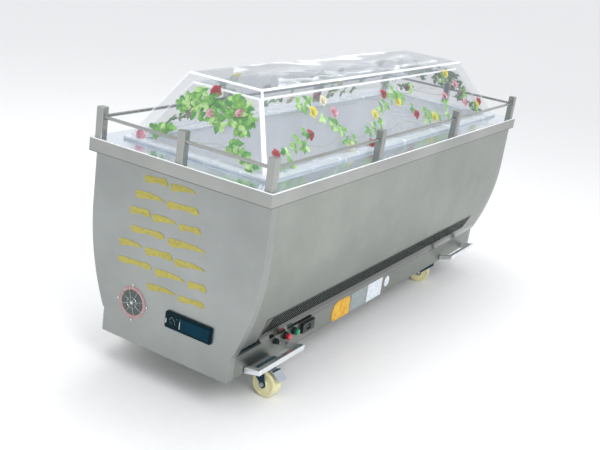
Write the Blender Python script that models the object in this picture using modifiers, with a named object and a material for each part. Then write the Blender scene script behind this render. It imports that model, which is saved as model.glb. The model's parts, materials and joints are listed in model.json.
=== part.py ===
"""Refrigerated crystal coffin: a steel cabinet on casters under a clear double-skinned cover.

Metres, +Z up, origin on the ground under the middle of the cabinet. The end with the control
panel faces -Y (front) and the long side with the switches faces +X (right).
"""

from math import cos, pi, radians, sin, sqrt

import bmesh
import bpy
from mathutils import Matrix, Vector

# Clearance between touching pieces, and sheet thicknesses
GAP = 0.0003
SHEET = 0.0015
BASE_SHEET = 0.002

# Heights above the ground
BASE_UNDERSIDE = 0.128
BASE_HEIGHT = 0.089
BASE_TOP = BASE_UNDERSIDE + BASE_HEIGHT
RIM_TOP = BASE_UNDERSIDE + 0.705
DECK_UNDERSIDE = RIM_TOP - SHEET

# Plinth and bulging cabinet
BASE_HALF = 0.280
HULL_HALF_TOP = 0.368
HULL_HALF_FOOT = 0.2845
HULL_BEND_Z = BASE_UNDERSIDE + 0.471
HULL_HALF_LENGTH = 1.093
END_FLANGE = 0.040
FOOT_FLANGE = 0.022
LEDGE_RISE = 0.0005
ARC_STEPS = 9
HULL_RADIUS = ((HULL_BEND_Z - BASE_TOP) ** 2 + (HULL_HALF_TOP - HULL_HALF_FOOT) ** 2) / (
    2 * (HULL_HALF_TOP - HULL_HALF_FOOT))
PANEL_HALF_LENGTH = HULL_HALF_LENGTH - END_FLANGE - GAP

# Rim with its deck, skirt and lower lip
RIM_HALF_WIDTH = 0.380
RIM_HALF_LENGTH = 1.120
RIM_SKIRT = 0.050
DECK_WIDTH = 0.100

# Cold chamber
CHAMBER_HALF_WIDTH = RIM_HALF_WIDTH - DECK_WIDTH
CHAMBER_HALF_LENGTH = RIM_HALF_LENGTH - DECK_WIDTH
CHAMBER_DEPTH = 0.430
TUB_FLANGE = 0.030

# Clear cover: a hipped form, longer in its rear slope than in its front one
COVER_FOOT_HALF_WIDTH = 0.301
COVER_FOOT_HALF_LENGTH = 1.037
COVER_HEAD_HALF_WIDTH = 0.152
COVER_HEAD_FRONT = -0.901
COVER_HEAD_REAR = 0.806
COVER_RISE = 0.258
COVER_RING_HEIGHT = 0.010
COVER_RING_WIDTH = 0.054
COVER_SKIN = 0.005
COVER_TOP_SPACE = 0.034
COVER_SIDE_SPACE = 0.026
COVER_BEND = 0.007

# Guard rail
POST_SIZE = 0.030
POST_HEIGHT = 0.106
POST_INSET = 0.027
POST_SPREAD = 0.365
RAIL_DIAMETER = 0.012
RAIL_HEIGHT = 0.072
RAIL_PLAY = 0.0008

# Ventilation strips low on both curved sides
VENT_FRONT = -0.965
VENT_REAR = 0.897
VENT_LOW = BASE_UNDERSIDE + 0.123
VENT_HIGH = BASE_UNDERSIDE + 0.217
VENT_PROUD = 0.0015
VENT_THICKNESS = 0.004
SLOT_COUNT = 28
SLOT_WIDTH = 0.022
SLOT_LENGTH = 0.072
SLOT_SLANT = radians(20)

# Fittings on the front end
SPEAKER_X = -0.150
SPEAKER_Z = BASE_UNDERSIDE + 0.152
SPEAKER_RADIUS = 0.060
SPEAKER_MESH_RADIUS = 0.046
CONTROL_X = 0.105
CONTROL_Z = BASE_UNDERSIDE + 0.1495
CONTROL_WIDTH = 0.198
CONTROL_HEIGHT = 0.061
CONTROL_DEPTH = 0.008
DISPLAY_WIDTH = 0.124
DISPLAY_HEIGHT = 0.044
DISPLAY_SHIFT = 0.030

# Fittings on the plinth's right side
FUSE_Y = -0.805
RED_LAMP_Y = -0.738
GREEN_LAMP_Y = -0.678
INLET_Y = -0.588
FITTING_Z = BASE_UNDERSIDE + 0.066
INLET_Z = BASE_UNDERSIDE + 0.059
LAMP_RADIUS = 0.0130
LAMP_COLLAR_DEPTH = 0.013
LAMP_HEAD_DEPTH = 0.013
FUSE_RADIUS = 0.009
INLET_SIZE = (0.014, 0.084, 0.040)

# Outriggers: square-tube frames standing out of the plinth and rising outwards
OUTRIGGER_Y = 0.845
OUTRIGGER_LENGTH = 0.295
OUTRIGGER_REACH = 0.348
OUTRIGGER_TUBE = 0.022
OUTRIGGER_FOOT = BASE_UNDERSIDE + 0.004
OUTRIGGER_RISE_FRONT = 0.014
OUTRIGGER_RISE_REAR = 0.022
SEAT_PLATE_LENGTH = 0.180
SEAT_PLATE_THICKNESS = 0.004

# Casters
FRONT_CASTER = (0.262, -0.846)
REAR_CASTER = (0.228, 0.700)
FRONT_TRAIL = radians(-4)
REAR_TRAIL = radians(201)
WHEEL_RADIUS = 0.050
WHEEL_WIDTH = 0.048
TRAIL_LENGTH = 0.035
PLATE_LENGTH = 0.105
PLATE_WIDTH = 0.080
PLATE_THICKNESS = 0.004
RACE_RADIUS = 0.030
RACE_HEIGHT = 0.0065
FORK_WIDTH = 0.060
FORK_METAL = 0.003
FORK_BOSS = 0.014
AXLE_RADIUS = 0.005
NUT_RADIUS = 0.009
NUT_THICKNESS = 0.006
PEDAL_PIN = (0.020, 0.109)
PEDAL_PIN_RADIUS = 0.0025
PEDAL_PIN_END = 0.002
PEDAL_ARM_WIDTH = 0.034
PEDAL_PAD_WIDTH = 0.046
ROUND_STEPS = 24

PARTS = "refrigerated_crystal_coffin"
CUTTERS = "cutters"


def clear_scene():
    """Remove every object that is in the open file."""
    for old in list(bpy.data.objects):
        bpy.data.objects.remove(old, do_unlink=True)


def collection(name):
    """Return the named collection, made and linked when first asked for."""
    found = bpy.data.collections.get(name)
    if found is None:
        found = bpy.data.collections.new(name)
        bpy.context.scene.collection.children.link(found)
    return found


def finish(name, colour, metallic, roughness, transmission=0.0):
    """Return a Principled material."""
    material = bpy.data.materials.new(name)
    material.use_nodes = True
    shader = material.node_tree.nodes["Principled BSDF"]
    shader.inputs["Base Color"].default_value = (*colour, 1.0)
    shader.inputs["Metallic"].default_value = metallic
    shader.inputs["Roughness"].default_value = roughness
    shader.inputs["Transmission Weight"].default_value = transmission
    material.diffuse_color = (*colour, 1.0 - 0.7 * transmission)
    return material


def steel(name):
    """Brushed stainless steel."""
    return finish(name, (0.60, 0.61, 0.59), 1.0, 0.32)


def acrylic(name):
    """Clear colourless acrylic sheet."""
    return finish(name, (0.93, 0.97, 0.97), 0.0, 0.03, transmission=1.0)


def add_piece(name, mesh, material):
    """Link a mesh as one named sub-part with its own material."""
    piece = bpy.data.objects.new(name, mesh)
    mesh.materials.clear()
    mesh.materials.append(material)
    collection(PARTS).objects.link(piece)
    return piece


def add_cutter(name, mesh):
    """Link a mesh that only shapes other pieces."""
    cutter = bpy.data.objects.new(name, mesh)
    collection(CUTTERS).objects.link(cutter)
    cutter.hide_render = True
    cutter.display_type = "WIRE"
    return cutter


def combine(piece, tool, operation="DIFFERENCE"):
    """Cut a piece with a tool, or join the tool to it."""
    step = piece.modifiers.new(tool.name, "BOOLEAN")
    step.operation = operation
    step.object = tool
    step.solver = "EXACT"


def bevel(piece, width, segments=1, angle=radians(50)):
    """Round the edges of a piece that are sharper than the angle."""
    step = piece.modifiers.new("rounded_edges", "BEVEL")
    step.width = width
    step.segments = segments
    step.limit_method = "ANGLE"
    step.angle_limit = angle


def box_mesh(name, low, high):
    """Return a box between two corners."""
    size = Vector(high) - Vector(low)
    middle = (Vector(high) + Vector(low)) / 2
    shape = bmesh.new()
    bmesh.ops.create_cube(shape, size=1.0)
    bmesh.ops.scale(shape, vec=size, verts=shape.verts)
    bmesh.ops.translate(shape, vec=middle, verts=shape.verts)
    mesh = bpy.data.meshes.new(name)
    shape.to_mesh(mesh)
    shape.free()
    return mesh


def centred_box_mesh(name, half_width, half_length, low, high):
    """Return a box that is centred in plan."""
    return box_mesh(name, (-half_width, -half_length, low), (half_width, half_length, high))


def outline_mesh(name, points, thickness):
    """Return a closed plate: an outline in the XY plane, half the thickness on each side."""
    curve = bpy.data.curves.new(name, "CURVE")
    curve.dimensions = "2D"
    curve.fill_mode = "BOTH"
    curve.extrude = thickness / 2
    spline = curve.splines.new("POLY")
    spline.points.add(len(points) - 1)
    for point, (across, up) in zip(spline.points, points):
        point.co = (across, up, 0.0, 1.0)
    spline.use_cyclic_u = True
    source = bpy.data.objects.new(name + "_curve", curve)
    collection(CUTTERS).objects.link(source)
    graph = bpy.context.evaluated_depsgraph_get()
    mesh = bpy.data.meshes.new_from_object(source.evaluated_get(graph))
    bpy.data.objects.remove(source)
    shape = bmesh.new()
    shape.from_mesh(mesh)
    bmesh.ops.remove_doubles(shape, verts=shape.verts, dist=0.00001)
    bmesh.ops.recalc_face_normals(shape, faces=shape.faces)
    shape.to_mesh(mesh)
    shape.free()
    return mesh


def upright_mesh(name, points, start, end):
    """Return an outline given in X and Z, run along Y from start to end."""
    mesh = outline_mesh(name, points, abs(end - start))
    mesh.transform(Matrix.Rotation(pi / 2, 4, "X"))
    mesh.transform(Matrix.Translation((0.0, (start + end) / 2, 0.0)))
    return mesh


def turned_piece(name, profile, material, steps=ROUND_STEPS):
    """Turn a profile of (radius, height) about Z, outer side from top to bottom."""
    mesh = bpy.data.meshes.new(name)
    points = [(radius, 0.0, height) for radius, height in profile]
    mesh.from_pydata(points, [(i, i + 1) for i in range(len(points) - 1)], [])
    piece = add_piece(name, mesh, material)
    turn = piece.modifiers.new("turning", "SCREW")
    turn.axis = "Z"
    turn.angle = 2 * pi
    turn.steps = steps
    turn.render_steps = steps
    turn.use_merge_vertices = True
    turn.merge_threshold = 0.00001
    turn.use_smooth_shade = True
    return piece


def face_along(piece, direction, place):
    """Stand a piece made along Z so that its +Z looks along the direction, at the place."""
    turn = Vector((0.0, 0.0, 1.0)).rotation_difference(Vector(direction))
    piece.rotation_mode = "QUATERNION"
    piece.rotation_quaternion = turn
    piece.location = place


def straight_rail(name, start, end, material):
    """Round bar between two points."""
    curve = bpy.data.curves.new(name, "CURVE")
    curve.dimensions = "3D"
    curve.bevel_depth = RAIL_DIAMETER / 2
    curve.bevel_resolution = 2
    curve.use_fill_caps = True
    spline = curve.splines.new("POLY")
    spline.points.add(1)
    for point, place in zip(spline.points, (start, end)):
        point.co = (*place, 1.0)
    curve.materials.append(material)
    rail = bpy.data.objects.new(name, curve)
    collection(PARTS).objects.link(rail)
    return rail


def hull_half_width(height, inset=0.0):
    """Half width of the cabinet's side at a height, less the inset."""
    drop = max(HULL_BEND_Z - height, 0.0)
    bulge = (HULL_RADIUS - inset) ** 2 - drop ** 2
    return HULL_HALF_TOP - HULL_RADIUS + sqrt(bulge)


def side_line(low, high, inset=0.0):
    """Points (x, z) up the right side between two heights."""
    bend = min(HULL_BEND_Z, high)
    heights = [low + (bend - low) * i / ARC_STEPS for i in range(ARC_STEPS + 1)]
    if high > bend:
        heights.append(high)
    return [(hull_half_width(height, inset), height) for height in heights]


def end_outline(inset):
    """Outline of the cabinet's end, plinth and all, drawn in by the inset."""
    foot = BASE_UNDERSIDE + inset
    ledge = BASE_TOP + inset
    right = [(BASE_HALF - inset, foot), (BASE_HALF - inset, ledge)]
    right += side_line(ledge + LEDGE_RISE, DECK_UNDERSIDE - GAP - inset, inset)
    left = [(-across, up) for across, up in reversed(right)]
    return right + left


def make_end_cap(name, side):
    """Flat end of the cabinet, a pan whose flange turns round the corners."""
    outer_face = side * HULL_HALF_LENGTH
    inner_edge = side * (HULL_HALF_LENGTH - END_FLANGE)
    hollow_floor = side * (HULL_HALF_LENGTH - SHEET)
    hollow_mouth = side * (HULL_HALF_LENGTH - 2 * END_FLANGE)
    cap = add_piece(name, upright_mesh(name, end_outline(0.0), inner_edge, outer_face),
                    steel(name + "_steel"))
    hollow = add_cutter(name + "_hollow",
                        upright_mesh(name + "_hollow", end_outline(SHEET), hollow_mouth, hollow_floor))
    combine(cap, hollow)


def make_side_panel(name, side):
    """Curved side sheet between the end caps, with a foot flange and a window for its grille."""
    foot = BASE_TOP + GAP
    outer = side_line(foot, DECK_UNDERSIDE - GAP)
    inner = side_line(foot + SHEET, DECK_UNDERSIDE - GAP, SHEET)
    flange = [(inner[0][0] - FOOT_FLANGE, foot + SHEET), (outer[0][0] - FOOT_FLANGE, foot)]
    outline = [(side * across, up) for across, up in outer + inner[::-1] + flange]
    panel = add_piece(name, upright_mesh(name, outline, -PANEL_HALF_LENGTH, PANEL_HALF_LENGTH),
                      steel(name + "_steel"))
    reach = sorted((side * BASE_HALF * 0.9, side * HULL_HALF_TOP))
    window = add_cutter(name + "_window",
                        box_mesh(name + "_window", (reach[0], VENT_FRONT - GAP, VENT_LOW - GAP),
                                 (reach[1], VENT_REAR + GAP, VENT_HIGH + GAP)))
    combine(panel, window)


def make_grille(name, side):
    """Slotted strip that fills the window in a side panel."""
    low = (hull_half_width(VENT_LOW), VENT_LOW)
    high = (hull_half_width(VENT_HIGH), VENT_HIGH)
    outline = [(low[0] + VENT_PROUD, low[1]), (high[0] + VENT_PROUD, high[1]),
               (high[0] + VENT_PROUD - VENT_THICKNESS, high[1]),
               (low[0] + VENT_PROUD - VENT_THICKNESS, low[1])]
    outline = [(side * across, up) for across, up in outline]
    grille = add_piece(name, upright_mesh(name, outline, VENT_FRONT, VENT_REAR),
                       finish(name + "_dark_steel", (0.05, 0.07, 0.06), 0.8, 0.35))
    slots = bmesh.new()
    pitch = (VENT_REAR - VENT_FRONT) / SLOT_COUNT
    middle = (low[0] + high[0]) / 2
    for number in range(SLOT_COUNT):
        made = bmesh.ops.create_cube(slots, size=1.0)
        place = (Matrix.Translation((side * middle, VENT_FRONT + (number + 0.5) * pitch,
                                     (VENT_LOW + VENT_HIGH) / 2))
                 @ Matrix.Rotation(-SLOT_SLANT, 4, "X")
                 @ Matrix.Diagonal((0.08, SLOT_WIDTH, SLOT_LENGTH, 1.0)))
        bmesh.ops.transform(slots, matrix=place, verts=made["verts"])
    mesh = bpy.data.meshes.new(name + "_slots")
    slots.to_mesh(mesh)
    slots.free()
    combine(grille, add_cutter(name + "_slots", mesh))


def make_base():
    """Plinth: an open tray under the cabinet, between the end caps."""
    base = add_piece("base_plinth", centred_box_mesh("base_plinth", BASE_HALF, PANEL_HALF_LENGTH,
                                                     BASE_UNDERSIDE, BASE_TOP),
                     steel("base_steel"))
    hollow = centred_box_mesh("base_hollow", BASE_HALF - BASE_SHEET, PANEL_HALF_LENGTH - BASE_SHEET,
                              BASE_UNDERSIDE + BASE_SHEET, BASE_TOP + SHEET)
    combine(base, add_cutter("base_hollow", hollow))


def make_rim():
    """Rim: deck, skirt and a lower lip that closes on the cabinet's sides."""
    bottom = RIM_TOP - RIM_SKIRT
    rim = add_piece("top_rim", centred_box_mesh("top_rim", RIM_HALF_WIDTH, RIM_HALF_LENGTH,
                                                bottom, RIM_TOP),
                    steel("rim_steel"))
    cuts = {
        "rim_hollow": (RIM_HALF_WIDTH - SHEET, RIM_HALF_LENGTH - SHEET, bottom + SHEET, DECK_UNDERSIDE),
        "rim_mouth": (HULL_HALF_TOP + GAP, HULL_HALF_LENGTH + GAP, bottom - SHEET, bottom + 2 * SHEET),
        "deck_opening": (CHAMBER_HALF_WIDTH, CHAMBER_HALF_LENGTH, bottom, RIM_TOP + SHEET),
    }
    for name, sizes in cuts.items():
        combine(rim, add_cutter(name, centred_box_mesh(name, *sizes)))


def make_tub():
    """Cold chamber: a deep tub whose flange lies under the deck."""
    top = DECK_UNDERSIDE - GAP
    floor = RIM_TOP - CHAMBER_DEPTH
    tub = add_piece("inner_tub", centred_box_mesh("inner_tub", CHAMBER_HALF_WIDTH + SHEET,
                                                  CHAMBER_HALF_LENGTH + SHEET, floor - SHEET, top),
                    steel("tub_steel"))
    flange = centred_box_mesh("tub_flange", CHAMBER_HALF_WIDTH + TUB_FLANGE,
                              CHAMBER_HALF_LENGTH + TUB_FLANGE, top - SHEET, top)
    hollow = centred_box_mesh("tub_hollow", CHAMBER_HALF_WIDTH, CHAMBER_HALF_LENGTH,
                              floor, top + SHEET)
    combine(tub, add_cutter("tub_flange", flange), "UNION")
    combine(tub, add_cutter("tub_hollow", hollow))


def hip_mesh(name, side_inset, top_inset, bottom, bend=0.0):
    """Hipped block of the cover, its slopes and its top drawn in, standing from the bottom up."""
    foot = RIM_TOP
    head = RIM_TOP + COVER_RISE
    side_run = COVER_FOOT_HALF_WIDTH - COVER_HEAD_HALF_WIDTH
    front_run = COVER_HEAD_FRONT + COVER_FOOT_HALF_LENGTH
    rear_run = COVER_FOOT_HALF_LENGTH - COVER_HEAD_REAR

    def drawn_in(run):
        return side_inset * sqrt(1.0 + (run / COVER_RISE) ** 2)

    def corner(across, along, height):
        share = (height - foot) / (head - foot)
        half_width = COVER_FOOT_HALF_WIDTH - share * side_run - drawn_in(side_run)
        front = -COVER_FOOT_HALF_LENGTH + share * front_run + drawn_in(front_run)
        rear = COVER_FOOT_HALF_LENGTH - share * rear_run - drawn_in(rear_run)
        return (across * half_width, front if along < 0 else rear, height)

    shape = bmesh.new()
    bmesh.ops.create_cube(shape, size=2.0)
    for vert in shape.verts:
        height = head - top_inset if vert.co.z > 0 else bottom
        vert.co = corner(vert.co.x, vert.co.y, height)
    if bend > 0.0:
        ridges = [edge for edge in shape.edges
                  if max(vert.co.z for vert in edge.verts) > (foot + head) / 2]
        bmesh.ops.bevel(shape, geom=ridges, offset=bend, segments=2, profile=0.5, affect="EDGES")
    mesh = bpy.data.meshes.new(name)
    shape.to_mesh(mesh)
    shape.free()
    return mesh


def make_cover():
    """Clear cover: an outer skin, an inner skin and the ring that closes the space between."""
    ring_bottom = RIM_TOP + GAP
    skin_bottom = ring_bottom + COVER_RING_HEIGHT + GAP
    ring = add_piece("cover_ring", centred_box_mesh("cover_ring", COVER_FOOT_HALF_WIDTH,
                                                    COVER_FOOT_HALF_LENGTH, ring_bottom,
                                                    ring_bottom + COVER_RING_HEIGHT),
                     acrylic("cover_ring_acrylic"))
    opening = centred_box_mesh("ring_opening", COVER_FOOT_HALF_WIDTH - COVER_RING_WIDTH,
                               COVER_FOOT_HALF_LENGTH - COVER_RING_WIDTH, RIM_TOP - SHEET,
                               skin_bottom + SHEET)
    combine(ring, add_cutter("ring_opening", opening))
    skins = {
        "cover_outer_skin": (0.0, 0.0),
        "cover_inner_skin": (COVER_SIDE_SPACE, COVER_TOP_SPACE),
    }
    for name, (side_inset, top_inset) in skins.items():
        skin = add_piece(name, hip_mesh(name, side_inset, top_inset, skin_bottom, COVER_BEND),
                         acrylic(name + "_acrylic"))
        hollow = hip_mesh(name + "_hollow", side_inset + COVER_SKIN, top_inset + COVER_SKIN,
                          skin_bottom - SHEET)
        combine(skin, add_cutter(name + "_hollow", hollow))


def post_places():
    """Name and plan position of each guard-rail post."""
    across = RIM_HALF_WIDTH - POST_INSET
    along = RIM_HALF_LENGTH - POST_INSET
    places = {"front_middle": (0.0, -along), "rear_middle": (0.0, along)}
    for side_name, side in (("right", 1), ("left", -1)):
        for row_name, row in (("front", -along), ("fore", -POST_SPREAD),
                              ("aft", POST_SPREAD), ("rear", along)):
            places[f"{row_name}_{side_name}"] = (side * across, row)
    return places


def rail_hole(name, place, run_along):
    """Cutter for the hole by which a rail passes through a post, along X or along Y."""
    shape = bmesh.new()
    radius = RAIL_DIAMETER / 2 + RAIL_PLAY
    bmesh.ops.create_cone(shape, cap_ends=True, segments=12, radius1=radius, radius2=radius,
                          depth=2 * POST_SIZE)
    turn = Matrix.Rotation(pi / 2, 4, "X" if run_along else "Y")
    bmesh.ops.transform(shape, matrix=Matrix.Translation(place) @ turn, verts=shape.verts)
    mesh = bpy.data.meshes.new(name)
    shape.to_mesh(mesh)
    shape.free()
    return add_cutter(name, mesh)


def make_guard_rail():
    """Square posts on the deck, and a round rail down each side and across each end."""
    places = post_places()
    half = POST_SIZE / 2
    for place_name, (across, along) in places.items():
        name = "post_" + place_name
        low = (across - half, along - half, RIM_TOP + GAP)
        high = (across + half, along + half, RIM_TOP + GAP + POST_HEIGHT)
        post = add_piece(name, box_mesh(name, low, high), steel(name + "_steel"))
        bevel(post, 0.002)
        if place_name.startswith(("fore", "aft")) or place_name.endswith("middle"):
            run_along = not place_name.endswith("middle")
            combine(post, rail_hole(name + "_hole", (across, along, RIM_TOP + RAIL_HEIGHT), run_along))
    runs = {"rail_front": ("front_left", "front_right"), "rail_rear": ("rear_left", "rear_right"),
            "rail_right": ("front_right", "rear_right"), "rail_left": ("front_left", "rear_left")}
    for name, (first, second) in runs.items():
        start = Vector((*places[first], RIM_TOP + RAIL_HEIGHT))
        end = Vector((*places[second], RIM_TOP + RAIL_HEIGHT))
        step = (end - start).normalized() * (half + GAP)
        straight_rail(name, start + step, end - step, steel(name + "_steel"))


def make_speaker():
    """Round loudspeaker on the front: a flat ring round a perforated disc."""
    front = -HULL_HALF_LENGTH - GAP
    inner = SPEAKER_MESH_RADIUS + GAP
    ring = turned_piece("speaker_ring", [
        (inner, 0.004), (SPEAKER_RADIUS - 0.003, 0.004), (SPEAKER_RADIUS, 0.001),
        (SPEAKER_RADIUS, 0.0), (inner, 0.0), (inner, 0.004)],
        finish("speaker_ring_pink", (0.55, 0.33, 0.34), 0.0, 0.5))
    disc = turned_piece("speaker_mesh", [
        (0.0, 0.006), (SPEAKER_MESH_RADIUS * 0.55, 0.005), (SPEAKER_MESH_RADIUS, 0.0025),
        (SPEAKER_MESH_RADIUS, 0.0), (0.0, 0.0)],
        finish("speaker_mesh_dark", (0.10, 0.12, 0.11), 0.6, 0.45))
    for piece in (ring, disc):
        face_along(piece, (0.0, -1.0, 0.0), (SPEAKER_X, front, SPEAKER_Z))


def make_control_panel():
    """Dark control panel on the front, with the window of its display."""
    back = -HULL_HALF_LENGTH - GAP
    front = back - CONTROL_DEPTH
    panel = add_piece("control_panel", box_mesh(
        "control_panel",
        (CONTROL_X - CONTROL_WIDTH / 2, front, CONTROL_Z - CONTROL_HEIGHT / 2),
        (CONTROL_X + CONTROL_WIDTH / 2, back, CONTROL_Z + CONTROL_HEIGHT / 2)),
        finish("control_panel_black", (0.01, 0.03, 0.045), 0.0, 0.25))
    bevel(panel, 0.004)
    middle = CONTROL_X + DISPLAY_SHIFT
    add_piece("control_display", box_mesh(
        "control_display",
        (middle - DISPLAY_WIDTH / 2, front - GAP - SHEET, CONTROL_Z - DISPLAY_HEIGHT / 2),
        (middle + DISPLAY_WIDTH / 2, front - GAP, CONTROL_Z + DISPLAY_HEIGHT / 2)),
        finish("control_display_smoked", (0.02, 0.05, 0.07), 0.0, 0.08))


def make_switches():
    """Fuse holder, two signal lamps and the mains inlet on the plinth's right side."""
    wall = BASE_HALF + GAP
    fuse = turned_piece("fuse_holder", [
        (0.0, 0.022), (FUSE_RADIUS - 0.001, 0.022), (FUSE_RADIUS, 0.020), (FUSE_RADIUS, 0.004),
        (FUSE_RADIUS + 0.003, 0.004), (FUSE_RADIUS + 0.003, 0.0), (0.0, 0.0)],
        finish("fuse_holder_black", (0.01, 0.012, 0.012), 0.0, 0.35), steps=16)
    face_along(fuse, (1.0, 0.0, 0.0), (wall, FUSE_Y, FITTING_Z))
    lamps = (("red_lamp", RED_LAMP_Y, (0.50, 0.02, 0.03)), ("green_lamp", GREEN_LAMP_Y, (0.01, 0.25, 0.12)))
    for name, along, colour in lamps:
        collar = turned_piece(name + "_collar", [
            (0.0, LAMP_COLLAR_DEPTH), (LAMP_RADIUS, LAMP_COLLAR_DEPTH),
            (LAMP_RADIUS + 0.002, LAMP_COLLAR_DEPTH - 0.002), (LAMP_RADIUS + 0.002, 0.0), (0.0, 0.0)],
            finish(name + "_collar_black", (0.01, 0.012, 0.012), 0.0, 0.4), steps=20)
        lens = turned_piece(name, [
            (0.0, LAMP_HEAD_DEPTH), (LAMP_RADIUS * 0.6, LAMP_HEAD_DEPTH - 0.001),
            (LAMP_RADIUS - 0.001, LAMP_HEAD_DEPTH - 0.004), (LAMP_RADIUS - 0.001, 0.0), (0.0, 0.0)],
            finish(name + "_lens", colour, 0.0, 0.2), steps=20)
        face_along(collar, (1.0, 0.0, 0.0), (wall, along, FITTING_Z))
        face_along(lens, (1.0, 0.0, 0.0), (wall + LAMP_COLLAR_DEPTH + GAP, along, FITTING_Z))
    depth, length, height = INLET_SIZE
    inlet = add_piece("mains_inlet", box_mesh(
        "mains_inlet", (wall, INLET_Y - length / 2, INLET_Z - height / 2),
        (wall + depth, INLET_Y + length / 2, INLET_Z + height / 2)),
        finish("mains_inlet_black", (0.01, 0.02, 0.03), 0.0, 0.4))
    bevel(inlet, 0.003)
    socket = box_mesh("inlet_socket", (wall + 0.004, INLET_Y - 0.014, INLET_Z - 0.011),
                      (wall + 2 * depth, INLET_Y + 0.014, INLET_Z + 0.011))
    combine(inlet, add_cutter("inlet_socket", socket))


def make_outrigger(name, side, end):
    """Square-tube frame rising out of the plinth; the front ones carry a caster seat plate."""
    low = OUTRIGGER_FOOT
    high = low + OUTRIGGER_TUBE
    root = BASE_HALF + GAP
    slope = (OUTRIGGER_RISE_FRONT if end < 0 else OUTRIGGER_RISE_REAR) / (OUTRIGGER_REACH - root)
    tilt = Matrix(((1, 0, 0, 0), (0, 1, 0, 0), (slope * side, 0, 1, -slope * root), (0, 0, 0, 1)))

    def tilted_box(box_name, across, along, heights):
        mesh = box_mesh(box_name, (across[0], along[0], heights[0]), (across[1], along[1], heights[1]))
        mesh.transform(tilt)
        return mesh

    ends = sorted((end * (OUTRIGGER_Y - OUTRIGGER_LENGTH / 2), end * (OUTRIGGER_Y + OUTRIGGER_LENGTH / 2)))
    across = sorted((side * root, side * OUTRIGGER_REACH))
    frame = add_piece(name, tilted_box(name, across, ends, (low, high)), steel(name + "_steel"))
    bevel(frame, 0.003)
    gap_across = sorted((side * (root - 0.01), side * (OUTRIGGER_REACH - OUTRIGGER_TUBE)))
    inner = (ends[0] + OUTRIGGER_TUBE, ends[1] - OUTRIGGER_TUBE)
    if end < 0:
        seat_end = ends[0] + SEAT_PLATE_LENGTH
        pocket = tilted_box(name + "_pocket", gap_across, (inner[0], seat_end),
                            (low + SEAT_PLATE_THICKNESS, high + 0.01))
        combine(frame, add_cutter(name + "_pocket", pocket))
        inner = (seat_end - 0.001, inner[1])
    opening = tilted_box(name + "_opening", gap_across, inner, (low - 0.01, high + 0.01))
    combine(frame, add_cutter(name + "_opening", opening))


def fork_outline():
    """Side view of a caster fork: level crown, slanting legs and a round boss at the axle."""
    top = BASE_UNDERSIDE - GAP - PLATE_THICKNESS - RACE_HEIGHT - GAP
    shoulder = top - 0.016
    boss = [(TRAIL_LENGTH + FORK_BOSS * cos(angle), WHEEL_RADIUS + FORK_BOSS * sin(angle))
            for angle in (radians(step) for step in range(20, -201, -22))]
    return [(-0.030, top), (-0.030, shoulder), *reversed(boss), (0.032, shoulder), (0.032, top)]


def cross_rod_mesh(name, radius, length, place, sides):
    """Return a round rod along Y through a place given as (x, z)."""
    shape = bmesh.new()
    bmesh.ops.create_cone(shape, cap_ends=True, segments=sides, radius1=radius, radius2=radius,
                          depth=length)
    turn = Matrix.Translation((place[0], 0.0, place[1])) @ Matrix.Rotation(pi / 2, 4, "X")
    bmesh.ops.transform(shape, matrix=turn, verts=shape.verts)
    mesh = bpy.data.meshes.new(name)
    shape.to_mesh(mesh)
    shape.free()
    return mesh


def make_brake_pedal(corner, hub):
    """Brake pedal: an arm on a pin between the fork's cheeks, ending in a sloping foot pad."""
    pivot = bpy.data.objects.new("pedal_pivot_" + corner, None)
    pivot.location = (PEDAL_PIN[0], 0.0, PEDAL_PIN[1])
    pivot.parent = hub
    collection(PARTS).objects.link(pivot)
    name = "brake_pedal_" + corner
    half_arm = PEDAL_ARM_WIDTH / 2
    half_pad = PEDAL_PAD_WIDTH / 2
    arm = add_piece(name, box_mesh(name, (-0.008, -half_arm, -0.002), (0.050, half_arm, 0.0015)),
                    steel(name + "_steel"))
    pad_outline = [(0.044, 0.0015), (0.052, 0.0015), (0.084, -0.0245), (0.0815, -0.0270),
                   (0.0505, -0.002), (0.044, -0.002)]
    pad = add_cutter("pad_" + corner, upright_mesh("pad_" + corner, pad_outline, -half_pad, half_pad))
    pin = add_cutter("pin_" + corner, cross_rod_mesh(
        "pin_" + corner, PEDAL_PIN_RADIUS, FORK_WIDTH + 2 * PEDAL_PIN_END, (0.0, 0.0), 12))
    for part in (arm, pad, pin):
        part.parent = pivot
    combine(arm, pad, "UNION")
    combine(arm, pin, "UNION")


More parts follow.
